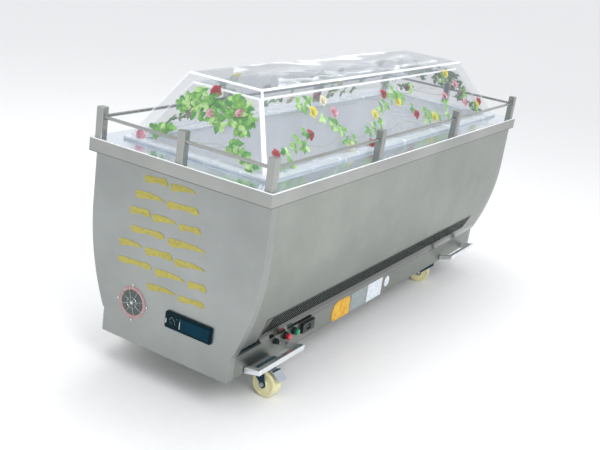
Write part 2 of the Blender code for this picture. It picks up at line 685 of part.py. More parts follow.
def make_caster(corner, place, trail, brake):
    """Swivel caster: plate and race on the plinth, turning fork, axle, wheel and brake pedal."""
    hub = bpy.data.objects.new("swivel_" + corner, None)
    hub.location = (*place, 0.0)
    hub.rotation_euler = (0.0, 0.0, trail)
    collection(PARTS).objects.link(hub)
    plate_top = BASE_UNDERSIDE - GAP
    race_top = plate_top - PLATE_THICKNESS
    race_bottom = race_top - RACE_HEIGHT
    crown = race_bottom - GAP

    plate_name = "caster_plate_" + corner
    plate = add_piece(plate_name, box_mesh(
        plate_name, (-PLATE_WIDTH / 2, -PLATE_LENGTH / 2, race_top),
        (PLATE_WIDTH / 2, PLATE_LENGTH / 2, plate_top)), steel(plate_name + "_steel"))
    plate.location = (*place, 0.0)
    race = bpy.data.meshes.new("race_" + corner)
    shape = bmesh.new()
    bmesh.ops.create_cone(shape, cap_ends=True, segments=24, radius1=RACE_RADIUS * 0.85,
                          radius2=RACE_RADIUS, depth=RACE_HEIGHT + 0.001)
    bmesh.ops.translate(shape, vec=(0, 0, (race_bottom + race_top + 0.001) / 2), verts=shape.verts)
    shape.to_mesh(race)
    shape.free()
    race_tool = add_cutter("race_" + corner, race)
    race_tool.location = (*place, 0.0)
    combine(plate, race_tool, "UNION")

    fork_name = "caster_fork_" + corner
    fork_mesh = upright_mesh(fork_name, fork_outline(), -FORK_WIDTH / 2, FORK_WIDTH / 2)
    fork = add_piece(fork_name, fork_mesh, steel(fork_name + "_steel"))
    throat = add_cutter("throat_" + corner, box_mesh(
        "throat_" + corner, (-0.1, -FORK_WIDTH / 2 + FORK_METAL, -0.01),
        (0.1, FORK_WIDTH / 2 - FORK_METAL, crown - FORK_METAL)))
    bores = [add_cutter("axle_bore_" + corner, cross_rod_mesh(
        "axle_bore_" + corner, AXLE_RADIUS + GAP, 2 * FORK_WIDTH, (TRAIL_LENGTH, WHEEL_RADIUS), 16))]
    if brake:
        bores.append(add_cutter("pin_bore_" + corner, cross_rod_mesh(
            "pin_bore_" + corner, PEDAL_PIN_RADIUS + 1.5 * GAP, 2 * FORK_WIDTH, PEDAL_PIN, 12)))
        make_brake_pedal(corner, hub)
    fork.parent = hub
    for tool in (throat, *bores):
        tool.parent = hub
        combine(fork, tool)

    half = WHEEL_WIDTH / 2
    hole = AXLE_RADIUS + GAP
    wheel = turned_piece("caster_wheel_" + corner, [
        (hole, half + 0.001), (0.013, half + 0.001), (0.013, half - 0.004), (0.036, half - 0.004),
        (0.040, half), (WHEEL_RADIUS - 0.004, half), (WHEEL_RADIUS, half - 0.004),
        (WHEEL_RADIUS, -half + 0.004), (WHEEL_RADIUS - 0.004, -half), (0.040, -half),
        (0.036, -half + 0.004), (0.013, -half + 0.004), (0.013, -half - 0.001),
        (hole, -half - 0.001), (hole, half + 0.001)],
        finish("caster_wheel_nylon_" + corner, (0.72, 0.68, 0.42), 0.0, 0.35))
    reach = FORK_WIDTH / 2 + GAP
    axle = turned_piece("caster_axle_" + corner, [
        (0.0, reach + NUT_THICKNESS), (NUT_RADIUS * 0.8, reach + NUT_THICKNESS),
        (NUT_RADIUS, reach + NUT_THICKNESS - 0.001), (NUT_RADIUS, reach), (AXLE_RADIUS, reach),
        (AXLE_RADIUS, -reach), (NUT_RADIUS, -reach), (NUT_RADIUS, -reach - NUT_THICKNESS + 0.001),
        (NUT_RADIUS * 0.8, -reach - NUT_THICKNESS), (0.0, -reach - NUT_THICKNESS)],
        steel("caster_axle_steel_" + corner), steps=16)
    for part in (wheel, axle):
        face_along(part, (0.0, -1.0, 0.0), (TRAIL_LENGTH, 0.0, WHEEL_RADIUS))
        part.parent = hub


def make_casters():
    """Braked casters under the front outriggers and plain ones inboard at the rear."""
    for side_name, side in (("right", 1), ("left", -1)):
        front_trail = FRONT_TRAIL if side > 0 else pi - FRONT_TRAIL
        rear_trail = REAR_TRAIL if side > 0 else pi - REAR_TRAIL
        make_caster("front_" + side_name, (side * FRONT_CASTER[0], FRONT_CASTER[1]), front_trail, True)
        make_caster("rear_" + side_name, (side * REAR_CASTER[0], REAR_CASTER[1]), rear_trail, False)


def main():
    clear_scene()
    for end_name, end in (("front", -1), ("rear", 1)):
        make_end_cap("end_cap_" + end_name, end)
    for side_name, side in (("right", 1), ("left", -1)):
        make_side_panel("side_panel_" + side_name, side)
        make_grille("vent_grille_" + side_name, side)
        for end_name, end in (("front", -1), ("rear", 1)):
            make_outrigger(f"outrigger_{end_name}_{side_name}", side, end)
    make_base()
    make_rim()
    make_tub()
    make_cover()
    make_guard_rail()
    make_speaker()
    make_control_panel()
    make_switches()
    make_casters()


main()
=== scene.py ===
"""Dress the refrigerated crystal coffin: cabinet, clear cover, garlands, rail, fittings and casters."""
import json
import random
from contextlib import contextmanager
from math import asin, atan2, cos, pi, radians, sin, sqrt, tau

import bmesh
import bpy
from bpy.props import FloatProperty, FloatVectorProperty, IntProperty, PointerProperty
from mathutils import Matrix, Vector


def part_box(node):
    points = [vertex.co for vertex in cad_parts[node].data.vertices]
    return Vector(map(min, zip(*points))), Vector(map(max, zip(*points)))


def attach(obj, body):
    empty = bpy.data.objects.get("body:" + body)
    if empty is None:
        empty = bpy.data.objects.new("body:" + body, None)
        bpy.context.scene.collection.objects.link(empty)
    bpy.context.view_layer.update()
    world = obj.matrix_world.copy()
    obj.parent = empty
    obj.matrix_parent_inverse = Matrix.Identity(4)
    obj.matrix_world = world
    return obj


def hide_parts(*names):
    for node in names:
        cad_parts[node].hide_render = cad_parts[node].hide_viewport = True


bl_info = {
    "name": "Refrigerated crystal coffin",
    "version": (1, 0, 0),
    "blender": (4, 5, 0),
    "location": "3D View > Sidebar > Coffin",
    "description": "Model and finish a refrigerated crystal coffin round its packed frame",
    "category": "Object",
}

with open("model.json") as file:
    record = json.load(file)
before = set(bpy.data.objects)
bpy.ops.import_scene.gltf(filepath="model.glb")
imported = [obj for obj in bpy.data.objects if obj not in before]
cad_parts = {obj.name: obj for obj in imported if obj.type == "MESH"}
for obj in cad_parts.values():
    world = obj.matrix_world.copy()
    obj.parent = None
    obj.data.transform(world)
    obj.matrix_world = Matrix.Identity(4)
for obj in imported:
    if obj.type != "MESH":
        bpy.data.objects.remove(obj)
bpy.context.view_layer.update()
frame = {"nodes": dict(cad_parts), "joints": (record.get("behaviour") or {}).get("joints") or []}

CAP_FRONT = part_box("end_cap_front")
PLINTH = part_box("base_plinth")
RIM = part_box("top_rim")
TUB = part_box("inner_tub")
GRILLE_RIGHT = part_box("vent_grille_right")
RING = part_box("cover_ring")
INNER_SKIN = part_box("cover_inner_skin")
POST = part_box("post_front_right")

X, Y, Z = range(3)
AXES = Matrix.Identity(3)
AIR = 0.0003  # between a fitting and the sheet that it sits on
NEAR = 1e-4  # places closer than this are the same
MERGE = 1e-5  # points closer than this are merged
SHARP = 1.2  # an edge is sharp when its faces turn by more, in radians


# Tools of the workshop: selecting, shaping and finishing a piece.

def deselect_all():
    if bpy.context.object and bpy.context.object.mode != "OBJECT":
        bpy.ops.object.mode_set(mode="OBJECT")
    bpy.ops.object.select_all(action="DESELECT")


def choose(*pieces):
    """Select these objects alone; the last one is active."""
    deselect_all()
    for piece in pieces:
        piece.select_set(True)
    bpy.context.view_layer.objects.active = pieces[-1]


def settle(name, finishes):
    """Name the new primitive, give it its finishes and put its place and turn into its mesh."""
    piece = bpy.context.active_object
    piece.name = piece.data.name = name
    for each in finishes:
        piece.data.materials.append(finish(each))
    bpy.ops.object.transform_apply(location=True, rotation=True, scale=True)
    return piece


def add_block(name, low, high, *finishes):
    """Block between two corners."""
    deselect_all()
    low, high = Vector(low), Vector(high)
    bpy.ops.mesh.primitive_cube_add(size=1.0, location=(low + high) / 2, scale=high - low)
    return settle(name, finishes)


def add_rod(name, start, end, radius, sides, *finishes):
    """Round rod from one point to another, closed at both ends."""
    deselect_all()
    start, end = Vector(start), Vector(end)
    along = end - start
    bpy.ops.mesh.primitive_cylinder_add(vertices=sides, radius=radius, depth=along.length,
                                        location=(start + end) / 2,
                                        rotation=along.to_track_quat("Z", "Y").to_euler())
    return settle(name, finishes)


def add_sheet(name, corners, *finishes):
    """Flat sheet with four corners in space, from a plane primitive."""
    deselect_all()
    bpy.ops.mesh.primitive_plane_add(size=2.0)
    piece = settle(name, finishes)
    for vert, corner in zip((0, 1, 3, 2), corners):
        piece.data.vertices[vert].co = corner
    return piece


def add_strip(name, width, length, *finishes):
    """Flat strip from the origin along Y."""
    return add_sheet(name, ((-width / 2, 0, 0), (width / 2, 0, 0), (width / 2, length, 0),
                            (-width / 2, length, 0)), *finishes)


def add_disc(name, radius, height, sides, steps, *finishes):
    """Disc round +Z: a short cylinder whose top is inset again and again, each time moved."""
    disc = add_rod(name, (0, 0, 0), (0, 0, height), radius, sides, *finishes)
    return work(disc, *((DISC_TOP, inset, *step) for step in steps))


@contextmanager
def editing(piece):
    """Edit mode on one object."""
    choose(piece)
    bpy.ops.object.mode_set(mode="EDIT")
    bpy.ops.mesh.select_all(action="DESELECT")
    yield piece
    bpy.ops.object.mode_set(mode="OBJECT")


def middle(item):
    """Middle of an edge or face."""
    if isinstance(item, bmesh.types.BMEdge):
        return (item.verts[0].co + item.verts[1].co) / 2
    return item.calc_center_median()


def is_sharp(edge):
    return not edge.is_boundary and edge.calc_face_angle() > SHARP


def is_inside(face, low, high):
    """Whether a face of the side lies between two corners, seen from the side."""
    return all(low[axis] < middle(face)[axis] < high[axis] for axis in (Y, Z))


def reach(edge, axis):
    """How far an edge reaches along an axis."""
    return abs(edge.verts[0].co[axis] - edge.verts[1].co[axis])


# A step of work() picks what passes a test, or keeps what is picked, and then acts on it in edit mode.

def faces(test):
    return "FACE", test


def edges(test):
    return "EDGE", test


def verts(test):
    return "VERT", test


UP = faces(lambda face: face.normal.z > 0.9)
DOWN = faces(lambda face: face.normal.z < -0.9)
DISC_TOP = faces(lambda face: len(face.verts) > 4 and face.normal.z > 0.9)
OPEN = edges(lambda edge: edge.is_boundary)
SHARED = edges(lambda edge: not edge.is_boundary)


def pick(kind, test):
    """In edit mode, select only the verts, edges or faces that pass the test."""
    piece = bpy.context.object
    shape = bmesh.from_edit_mesh(piece.data)
    groups = {"VERT": shape.verts, "EDGE": shape.edges, "FACE": shape.faces}
    for group in groups.values():
        for item in group:
            item.select_set(False)
    shape.select_mode = {kind}
    bpy.context.tool_settings.mesh_select_mode = [kind == each for each in groups]
    chosen = [item for item in groups[kind] if test(item)]
    if not chosen:
        raise RuntimeError(f"{piece.name}: nothing to select")
    for item in chosen:
        item.select_set(True)
    shape.select_flush_mode()
    bmesh.update_edit_mesh(piece.data)


def work(piece, *steps):
    """Edit a piece in steps of what to pick, or None, the action and its values."""
    with editing(piece):
        for what, act, *values in steps:
            if what:
                pick(*what)
            act(*values)
    return piece


def extrude(step=(0.0, 0.0, 0.0)):
    bpy.ops.mesh.extrude_region_move(TRANSFORM_OT_translate={"value": step})


def move(*step):
    bpy.ops.transform.translate(value=step)


def widen(factors, centre):
    bpy.ops.transform.resize(value=factors, center_override=centre)


def inset(thickness, depth=0.0, **settings):
    bpy.ops.mesh.inset(thickness=thickness, depth=depth, **settings)


def drop_faces():
    bpy.ops.mesh.delete(type="FACE")


def bevel(width, segments=2, material=-1):
    bpy.ops.mesh.bevel(offset=width, segments=segments, affect="EDGES", clamp_overlap=True,
                       material=material)


def cut(axis, at, **settings):
    """Cut the whole mesh by the plane that crosses an axis at a place."""
    bpy.ops.mesh.select_all(action="SELECT")
    bpy.ops.mesh.bisect(plane_co=AXES[axis] * at, plane_no=AXES[axis], **settings)


def paint(index):
    """Give the selected faces one of the piece's finishes."""
    bpy.context.object.active_material_index = index
    bpy.ops.object.material_slot_assign()


def outward(piece):
    """Merge doubles and turn every face outwards."""
    with editing(piece):
        bpy.ops.mesh.select_all(action="SELECT")
        bpy.ops.mesh.remove_doubles(threshold=MERGE)
        bpy.ops.mesh.normals_make_consistent(inside=False)


def face_out(piece, axis, sign):
    """Merge an open sheet's doubles and turn its faces to one side."""
    outward(piece)
    largest = max(piece.data.polygons, key=lambda face: face.area)
    if largest.normal[axis] * sign < 0.0:
        with editing(piece):
            bpy.ops.mesh.select_all(action="SELECT")
            bpy.ops.mesh.flip_normals()


def modify(piece, kind, **settings):
    """Apply a modifier."""
    choose(piece)
    made = piece.modifiers.new(kind.title(), kind)
    for key, value in settings.items():
        setattr(made, key, value)
    bpy.ops.object.modifier_apply(modifier=made.name)
    return piece


def thicken(piece, thickness, offset=-1.0):
    """Give a sheet its wall; offset -1 grows it inwards, +1 outwards."""
    return modify(piece, "SOLIDIFY", thickness=thickness, offset=offset, use_even_offset=True,
                  use_quality_normals=True)


def soften(piece, width, segments=2, angle=30.0):
    """Ease all edges sharper than an angle."""
    return modify(piece, "BEVEL", width=width, segments=segments, limit_method="ANGLE",
                  angle_limit=radians(angle), use_clamp_overlap=True)


def shifted(piece, *step):
    """Move a piece's mesh."""
    piece.data.transform(Matrix.Translation(step))
    return piece


def copy_piece(piece, name, matrix):
    """Copy with its own mesh, moved by a matrix; a mirroring matrix gets its faces turned back."""
    twin = piece.copy()
    twin.data = piece.data.copy()
    twin.name = twin.data.name = name
    bpy.context.scene.collection.objects.link(twin)
    twin.data.transform(matrix)
    if matrix.determinant() < 0.0:
        twin.data.flip_normals()
    return twin


def copy_node(node, name, material, ease, segments=2):
    """Merged copy of a CAD node with a finish of its own, its edges eased."""
    twin = copy_piece(frame["nodes"][node], name, Matrix.Identity(4))
    for key in list(twin.keys()):
        del twin[key]
    twin.parent = None
    twin.data.materials.clear()
    twin.data.materials.append(finish(material))
    with editing(twin):
        bpy.ops.mesh.select_all(action="SELECT")
        bpy.ops.mesh.remove_doubles(threshold=MERGE)
        bpy.ops.mesh.dissolve_limited(angle_limit=radians(1.0))
    return soften(twin, ease, segments)


def join(name, pieces):
    """Join pieces into one object."""
    choose(*pieces)
    bpy.ops.object.join()
    whole = bpy.context.active_object
    whole.name = whole.data.name = name
    return whole


def discard(patterns):
    """Remove the patterns that copies were made of."""
    for pattern in patterns:
        bpy.data.objects.remove(pattern)


def mount(piece, node=None, smooth=30.0, body="cabinet"):
    """Shade the piece, let it ride on its body and stand for its CAD node."""
    choose(piece)
    bpy.ops.object.shade_smooth_by_angle(angle=radians(smooth))
    modify(piece, "WEIGHTED_NORMAL", keep_sharp=True)
    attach(piece, body)
    if node:
        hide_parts(node)


# Materials. Each has its colour variation, grain, roughness and bump from nodes on object coordinates.

EVEN = (1.0, 1.0, 1.0)  # a pattern that isn't stretched
PEBBLES = (EVEN, 420.0, 3.0, 0.6)  # stretch, scale, detail and roughness of a fine grain


def add_node(tree, kind, settings=None, **inputs):
    made = tree.nodes.new("ShaderNode" + kind)
    for key, value in (settings or {}).items():
        setattr(made, key, value)
    for key, value in inputs.items():
        made.inputs[key.replace("_", " ")].default_value = value
    return made


def wire(tree, source, output, target, socket):
    tree.links.new(source.outputs[output], target.inputs[socket])


def mapped(tree, stretch=EVEN, turn=(0.0, 0.0, 0.0)):
    """Object coordinates through a Mapping node that stretches the pattern."""
    mapping = add_node(tree, "Mapping", Scale=stretch, Rotation=turn)
    wire(tree, add_node(tree, "TexCoord"), "Object", mapping, "Vector")
    return mapping


def noise(tree, stretch, scale, detail, roughness):
    made = add_node(tree, "TexNoise", Scale=scale, Detail=detail, Roughness=roughness)
    wire(tree, mapped(tree, stretch), "Vector", made, "Vector")
    return made


def span(tree, source, output, low, high, from_low=0.3, from_high=0.7):
    """Map a pattern's value onto a range."""
    made = add_node(tree, "MapRange", From_Min=from_low, From_Max=from_high, To_Min=low, To_Max=high)
    wire(tree, source, output, made, "Value")
    return made


def set_looks(tree, colour_from, tones, stops, rough_from, rough, bump_from, strength, distance):
    """Wire patterns, each a node and its output, to the shader's colour, roughness and bump."""
    shader = tree.nodes["Principled BSDF"]
    ramp = add_node(tree, "ValToRGB")
    for element, position, colour in zip(ramp.color_ramp.elements, stops, tones):
        element.position, element.color = position, (*colour, 1.0)
    wire(tree, *colour_from, ramp, "Fac")
    wire(tree, ramp, "Color", shader, "Base Color")
    wire(tree, span(tree, *rough_from, *rough), "Result", shader, "Roughness")
    relief = add_node(tree, "Bump", Strength=strength, Distance=distance)
    wire(tree, *bump_from, relief, "Height")
    wire(tree, relief, "Normal", shader, "Normal")
    return ramp, shader


def new_finish(name, **values):
    """Principled material with its constant values set on the shader, and its nodes."""
    made = bpy.data.materials.new(name)
    made.use_nodes = True
    for key, value in values.items():
        made.node_tree.nodes["Principled BSDF"].inputs[key.replace("_", " ")].default_value = value
    return made, made.node_tree


def noisy(name, tones, tone_noise, rough, rough_noise, bump, bump_noise, stops=(0.3, 0.7), **values):
    """Material whose colour, roughness and bump follow noises of a stretch, scale, detail and roughness."""
    made, tree = new_finish(name, **values)
    noises = {each: (noise(tree, *each), "Fac") for each in (tone_noise, rough_noise, bump_noise)}
    set_looks(tree, noises[tone_noise], tones, stops, noises[rough_noise], rough, noises[bump_noise], *bump)
    return made


def shade(colour, factor):
    return tuple(channel * factor for channel in colour)


def around(colour, tone):
    """A darker and a lighter tone of a colour."""
    return shade(colour, 1.0 - tone), shade(colour, 1.0 + tone)


def steel(name, colour, grain, rough, painted_shade_below=None, metal=1.0):
    """Brushed sheet: fine grain one way and faint clouding; given a painted shade below, its colour darkens
    towards the bottom as painted shade.
    """
    lines = (grain, 9.0, 6.0, 0.65)
    made = noisy(name, around(colour, 0.10), (EVEN, 3.2, 4.0, 0.6), rough, lines, (0.35, 0.00012), lines,
                 Metallic=metal)
    if painted_shade_below:
        # painted shade: the colour is scaled from full at the head's height down to low at the foot's height
        foot, head, low = painted_shade_below
        tree = made.node_tree
        base = tree.nodes["Principled BSDF"].inputs["Base Color"]
        height = add_node(tree, "SeparateXYZ")
        wire(tree, mapped(tree), "Vector", height, "Vector")
        painted_shade_scale = add_node(tree, "VectorMath", {"operation": "SCALE"})
        wire(tree, span(tree, height, "Z", low, 1.0, foot, head), "Result", painted_shade_scale, "Scale")
        tree.links.new(base.links[0].from_socket, painted_shade_scale.inputs["Vector"])
        tree.links.new(painted_shade_scale.outputs["Vector"], base)
    return made


def polished(name, colour, rough):
    """Polished sheet with a slow waviness and fine wiping marks."""
    marks = ((90.0, 5.0, 90.0), 4.0, 5.0, 0.6)
    return noisy(name, (shade(colour, 0.93), shade(colour, 1.05)), marks, rough, marks, (0.5, 0.0015),
                 ((1.0, 0.45, 1.0), 5.0, 2.0, 0.5), Metallic=1.0)


def clear(name, colour, alpha, wave=0.004):
    """Clear acrylic sheet, seen through its alpha: glossy, slowly wavy, with faint wiping marks."""
    marks = ((1.0, 0.25, 1.0), 14.0, 5.0, 0.7)
    return noisy(name, (shade(colour, 0.90), colour), marks, (0.0, 0.06), marks, (0.35, wave),
                 ((1.0, 0.6, 1.4), 3.5, 2.0, 0.5), Alpha=alpha, Metallic=0.65, IOR=1.49)


def moulded(name, colour, rough, tone=0.12, grain=420.0, depth=0.00015, **values):
    """Moulded or painted surface: fine pebble grain and slow colour drift."""
    drift = (EVEN, 18.0, 3.0, 0.6)
    return noisy(name, around(colour, tone), drift, rough, drift, (0.4, depth), (EVEN, grain, 3.0, 0.6),
                 **values)


def mottled(name, first, second, scale):
    """Painted or printed surface with soft blotches of a second tone."""
    blotches = (EVEN, scale, 4.0, 0.65)
    return noisy(name, (first, second), blotches, (0.35, 0.55), blotches, (0.4, 0.00015), PEBBLES,
                 (0.42, 0.66))


def petal_like(name, deep, light):
    """Petal or leaf: darker veins and folds, paler edges, a soft sheen."""
    veins = ((1.0, 1.0, 0.2), 420.0, 2.0, 0.5)
    return noisy(name, (deep, light), (EVEN, 60.0, 3.0, 0.6), (0.45, 0.65), veins, (0.5, 0.0004), veins,
                 Sheen_Weight=0.3, Specular_IOR_Level=0.3)


def perforated(name, colour, hole):
    """Perforated sheet on the front: rows of round holes in dark metal."""
    made, tree = new_finish(name, Metallic=0.8)
    holes = add_node(tree, "TexVoronoi", {"voronoi_dimensions": "2D"}, Scale=290.0, Randomness=0.0)
    wire(tree, mapped(tree, turn=(pi / 2, 0.0, 0.0)), "Vector", holes, "Vector")
    edge = (span(tree, holes, "Distance", 0.0, 1.0, 0.26, 0.36), "Result")
    set_looks(tree, edge, (hole, colour), (0.3, 0.7), (holes, "Distance"), (0.6, 0.3), edge, 0.6, 0.0006)
    return made


def painted(name, dark, light):
    """Brushed-on metallic paint: streaks along the stroke, specks and thin places."""
    made, tree = new_finish(name, Metallic=0.25)
    streaks = noise(tree, (4.0, 30.0, 60.0), 3.0, 5.0, 0.7)
    specks = noise(tree, EVEN, 120.0, 4.0, 0.7)
    part, both = (add_node(tree, "Math", {"operation": kind}) for kind in ("MULTIPLY", "MULTIPLY_ADD"))
    part.inputs[1].default_value, both.inputs[1].default_value = 0.45, 0.55
    wire(tree, streaks, "Fac", part, 0)
    wire(tree, specks, "Fac", both, 0)
    wire(tree, part, 0, both, 2)
    set_looks(tree, (both, 0), (dark, light), (0.34, 0.56), (streaks, "Fac"), (0.35, 0.6), (both, 0), 0.6,
              0.0008)
    return made


LENGTHWISE = (4.0, 3.0, 130.0)
CROSSED = (60.0, 60.0, 60.0)
FINISHES = {  # name: kind, colours or a user's colour with its shade, then what the kind takes
    # end_steel and side_steel end in the foot, head and lowest share of their painted shade, darker towards
    # the bottom
    "end_steel": (steel, (0.362, 0.382, 0.372), (140.0, 4.0, 4.0), (0.34, 0.48), (0.12, 0.45, 0.86)),
    "side_steel": (steel, (0.352, 0.370, 0.340), LENGTHWISE, (0.33, 0.47), (0.22, 0.72, 0.72)),
    "rim_steel": (steel, ("steel", 1.05), (30.0, 30.0, 120.0), (0.24, 0.36)),
    "deck_steel": (polished, (0.82, 0.88, 0.94), (0.14, 0.26)),
    # near-white for the rim's top fold: painted highlight along the edge
    "edge_steel": (moulded, (0.93, 0.95, 0.97), (0.2, 0.3), 0.03, 160.0, 0.0001, {"Metallic": 0.5}),
    # dark band at the rim's foot: painted shadow under the skirt
    "seam_dark": (moulded, (0.15, 0.16, 0.15), (0.5, 0.7)),
    "tub_steel": (steel, (0.91, 0.93, 0.96), (3.0, 80.0, 80.0), (0.24, 0.36), None, 0.5),
    # margin and strip: the cabinet's steel darkened to a fifth and a third, painted dark reflection on
    # polished strips
    "margin_steel": (steel, ("steel", 0.22), LENGTHWISE, (0.10, 0.18)),
    "strip_steel": (steel, ("steel", 0.34), LENGTHWISE, (0.07, 0.13)),
    "outrigger_steel": (steel, (0.80, 0.83, 0.85), CROSSED, (0.28, 0.40)),
    "post_steel": (steel, ("steel", 1.05), (90.0, 90.0, 6.0), (0.25, 0.36)),
    "rail_steel": (steel, ("steel", 1.0), (80.0, 80.0, 80.0), (0.18, 0.28)),
    "grille_steel": (steel, (0.060, 0.085, 0.070), (30.0, 30.0, 30.0), (0.22, 0.32)),
    "guard_wire": (steel, (0.62, 0.65, 0.64), CROSSED, (0.15, 0.25)),
    "zinc_steel": (steel, (0.46, 0.50, 0.55), CROSSED, (0.25, 0.4)),
    "clear_acrylic": (clear, ("acrylic", 1.0), 0.08),
    # the tops' finishes are darker and less clear than the walls' of the same acrylic: painted shade on the
    # cover's top
    "clear_acrylic_top": (clear, (0.23, 0.28, 0.33), 0.31, 0.005),
    "inner_acrylic": (clear, ("acrylic", 0.97), 0.07),
    "inner_acrylic_top": (clear, (0.26, 0.31, 0.37), 0.29, 0.006),
    # frosted acrylic, pale enough to paint the bright bands at the cover's foot: partly a painted highlight
    "frosted_acrylic": (moulded, (0.80, 0.86, 0.92), (0.15, 0.3), 0.05, 60.0,
                        {"Transmission_Weight": 0.35, "IOR": 1.49}),
    # white ridges of the skins: glue seam, brightened into a painted highlight of the edges
    "acrylic_edge": (moulded, (0.95, 0.97, 0.99), (0.25, 0.4), 0.02, 90.0,
                     {"Coat_Weight": 0.5, "IOR": 1.49, "Alpha": 0.72}),
    # near-black sheet behind the grilles: painted shade of the hollow
    "hollow_dark": (moulded, (0.006, 0.009, 0.008), (0.6, 0.8)),
    # dark teal of the pads in the outriggers' pockets: painted shade
    "hollow_blue": (moulded, (0.006, 0.05, 0.075), (0.2, 0.35)),
    "speaker_pink": (mottled, ("speaker", 1.0), (0.36, 0.35, 0.33), 95.0),
    "speaker_mesh": (perforated, (0.16, 0.19, 0.185), (0.008, 0.010, 0.010)),
    "panel_black": (moulded, ("control_panel", 1.0), (0.2, 0.3), {"Specular_IOR_Level": 0.06}),
    "display_smoked": (moulded, (0.002, 0.030, 0.052), (0.08, 0.14), {"Specular_IOR_Level": 0.06}),
    "white_mark": (moulded, (0.72, 0.76, 0.78), (0.4, 0.5)),
    "dim_mark": (moulded, (0.10, 0.17, 0.20), (0.4, 0.5)),
    "fitting_black": (moulded, (0.006, 0.011, 0.012), (0.25, 0.4)),
    "lamp_red": (moulded, (0.55, 0.012, 0.018), (0.12, 0.2), {"Coat_Weight": 0.5}),
    "lamp_green": (moulded, (0.004, 0.25, 0.11), (0.12, 0.2), {"Coat_Weight": 0.5}),
    "fork_dark": (moulded, (0.012, 0.055, 0.09), (0.18, 0.32), {"Metallic": 0.7}),
    "wheel_nylon": (moulded, ("wheel", 1.0), (0.3, 0.42), 0.10),
    "gold": (painted, ("gold", 0.72), ("gold", 1.12)),
    "label_yellow": (mottled, (0.72, 0.44, 0.010), (0.60, 0.24, 0.004), 38.0),
    "label_grey": (mottled, (0.24, 0.28, 0.29), (0.34, 0.39, 0.40), 60.0),
    "label_white": (mottled, (0.62, 0.67, 0.73), (0.80, 0.83, 0.87), 70.0),
    "leaf": (petal_like, (0.07, 0.29, 0.02), (0.25, 0.55, 0.09)),
    "leaf_dark": (petal_like, (0.02, 0.17, 0.015), (0.12, 0.42, 0.06)),
    "leaf_pale": (petal_like, (0.26, 0.52, 0.12), (0.55, 0.80, 0.32)),
    "stem_green": (petal_like, (0.16, 0.27, 0.12), (0.30, 0.42, 0.24)),
    "petal_red": (petal_like, (0.24, 0.0, 0.003), (0.64, 0.0, 0.016)),
    "petal_yellow": (petal_like, (0.66, 0.56, 0.01), (0.88, 0.86, 0.10)),
    "petal_cream": (petal_like, (0.72, 0.66, 0.40), (0.95, 0.92, 0.75)),
    "petal_pink": (petal_like, (0.55, 0.12, 0.22), (0.92, 0.62, 0.68)),
    "floor_pale": (moulded, (0.86, 0.865, 0.87), (0.7, 0.8), 0.01, 40.0),
}
MADE = {}


def finish(name):
    """Finish by its name, made when it is first asked for."""
    if name not in MADE:
        kind, *values = FINISHES[name]
        extra = values.pop() if isinstance(values[-1], dict) else {}
        colours = bpy.context.scene.coffin_colours
        for number, value in enumerate(values):
            if isinstance(value, tuple) and isinstance(value[0], str):
                values[number] = shade(getattr(colours, value[0]), value[1])
        MADE[name] = kind(name, *values, **extra)
    return MADE[name]


# Sizes and colours that a user can change.

def length(name, description, default, low, high):
    return FloatProperty(name=name, description=description, default=default, min=low, max=high,
                         unit="LENGTH")


def tint(name, description, default):
    return FloatVectorProperty(name=name, description=description, default=default, subtype="COLOR",
                               size=3)


class CoffinSizes(bpy.types.PropertyGroup):
    """Sizes of the visible pieces, in metres."""
    sheet: length("Sheet", "Thickness of the cabinet's sheet", 0.0015, 0.0005, 0.004)
    corner_bend: length("Corner bend", "Outer radius of the folded corners", 0.003, 0.001, 0.006)
    rim_bend: length("Rim bend", "Outer radius of the rim's folds", 0.003, 0.001, 0.006)
    acrylic: length("Acrylic", "Thickness of the cover's skins", 0.005, 0.003, 0.008)
    ridge: length("Ridge", "Width of the glued ridges of the cover", 0.0055, 0.003, 0.012)
    slots: IntProperty(name="Slots", description="Number of slots in each ventilation grille",
                       default=85, min=40, max=160)
    slot_lean: FloatProperty(name="Slot lean", description="Lean of the slots from upright",
                             default=radians(24.0), subtype="ANGLE")
    rail_width: length("Rail", "Diameter of the guard rail", 0.012, 0.008, 0.013)


class CoffinColours(bpy.types.PropertyGroup):
    """Base colours of the finishes."""
    steel: tint("Steel", "Brushed steel of the cabinet", (0.385, 0.395, 0.375))
    acrylic: tint("Acrylic", "Tint of the clear cover", (0.56, 0.60, 0.65))
    speaker: tint("Speaker", "Ring of the loudspeaker", (0.42, 0.20, 0.21))
    control_panel: tint("Control panel", "Control panel", (0.003, 0.016, 0.022))
    wheel: tint("Wheel", "Nylon of the wheels", (0.70, 0.66, 0.38))
    gold: tint("Gold", "Strokes on the front", (0.42, 0.37, 0.085))


# The cabinet.

BEND_Z = 0.599  # where the side begins to draw in
PLINTH_HALF, PLINTH_TOP = PLINTH[1].x, PLINTH[1].z
HULL_HALF_TOP, HULL_HALF_FOOT = CAP_FRONT[1].x, 0.2845
BEND_RADIUS = ((BEND_Z - PLINTH_TOP) ** 2 + (HULL_HALF_TOP - HULL_HALF_FOOT) ** 2) / (
    2 * (HULL_HALF_TOP - HULL_HALF_FOOT))
CHAMBER_HALF = TUB[1] - Vector((0.030, 0.030, 0.0))
MIRROR_X = Matrix.Diagonal((-1.0, 1.0, 1.0, 1.0))
MIRROR_Y = Matrix.Diagonal((1.0, -1.0, 1.0, 1.0))
CAP_STEPS, BEND_STEPS = 18, 24  # steps along the side's curve in the cap and in the side sheet
CAP_LEDGE = 0.0045  # first step of the cap above the plinth
FOOT_FOLD = 0.022  # turned in under the side sheet
SLOT_FOOT, SLOT_HEAD = 0.275, 0.3435
BAR_SHARE = 0.12  # steel at each side of a slot, as a share of the pitch
GRILLE_PROUD, GRILLE_SHEET = 0.0012, 0.0022  # how far the grille stands out of the side, its thickness
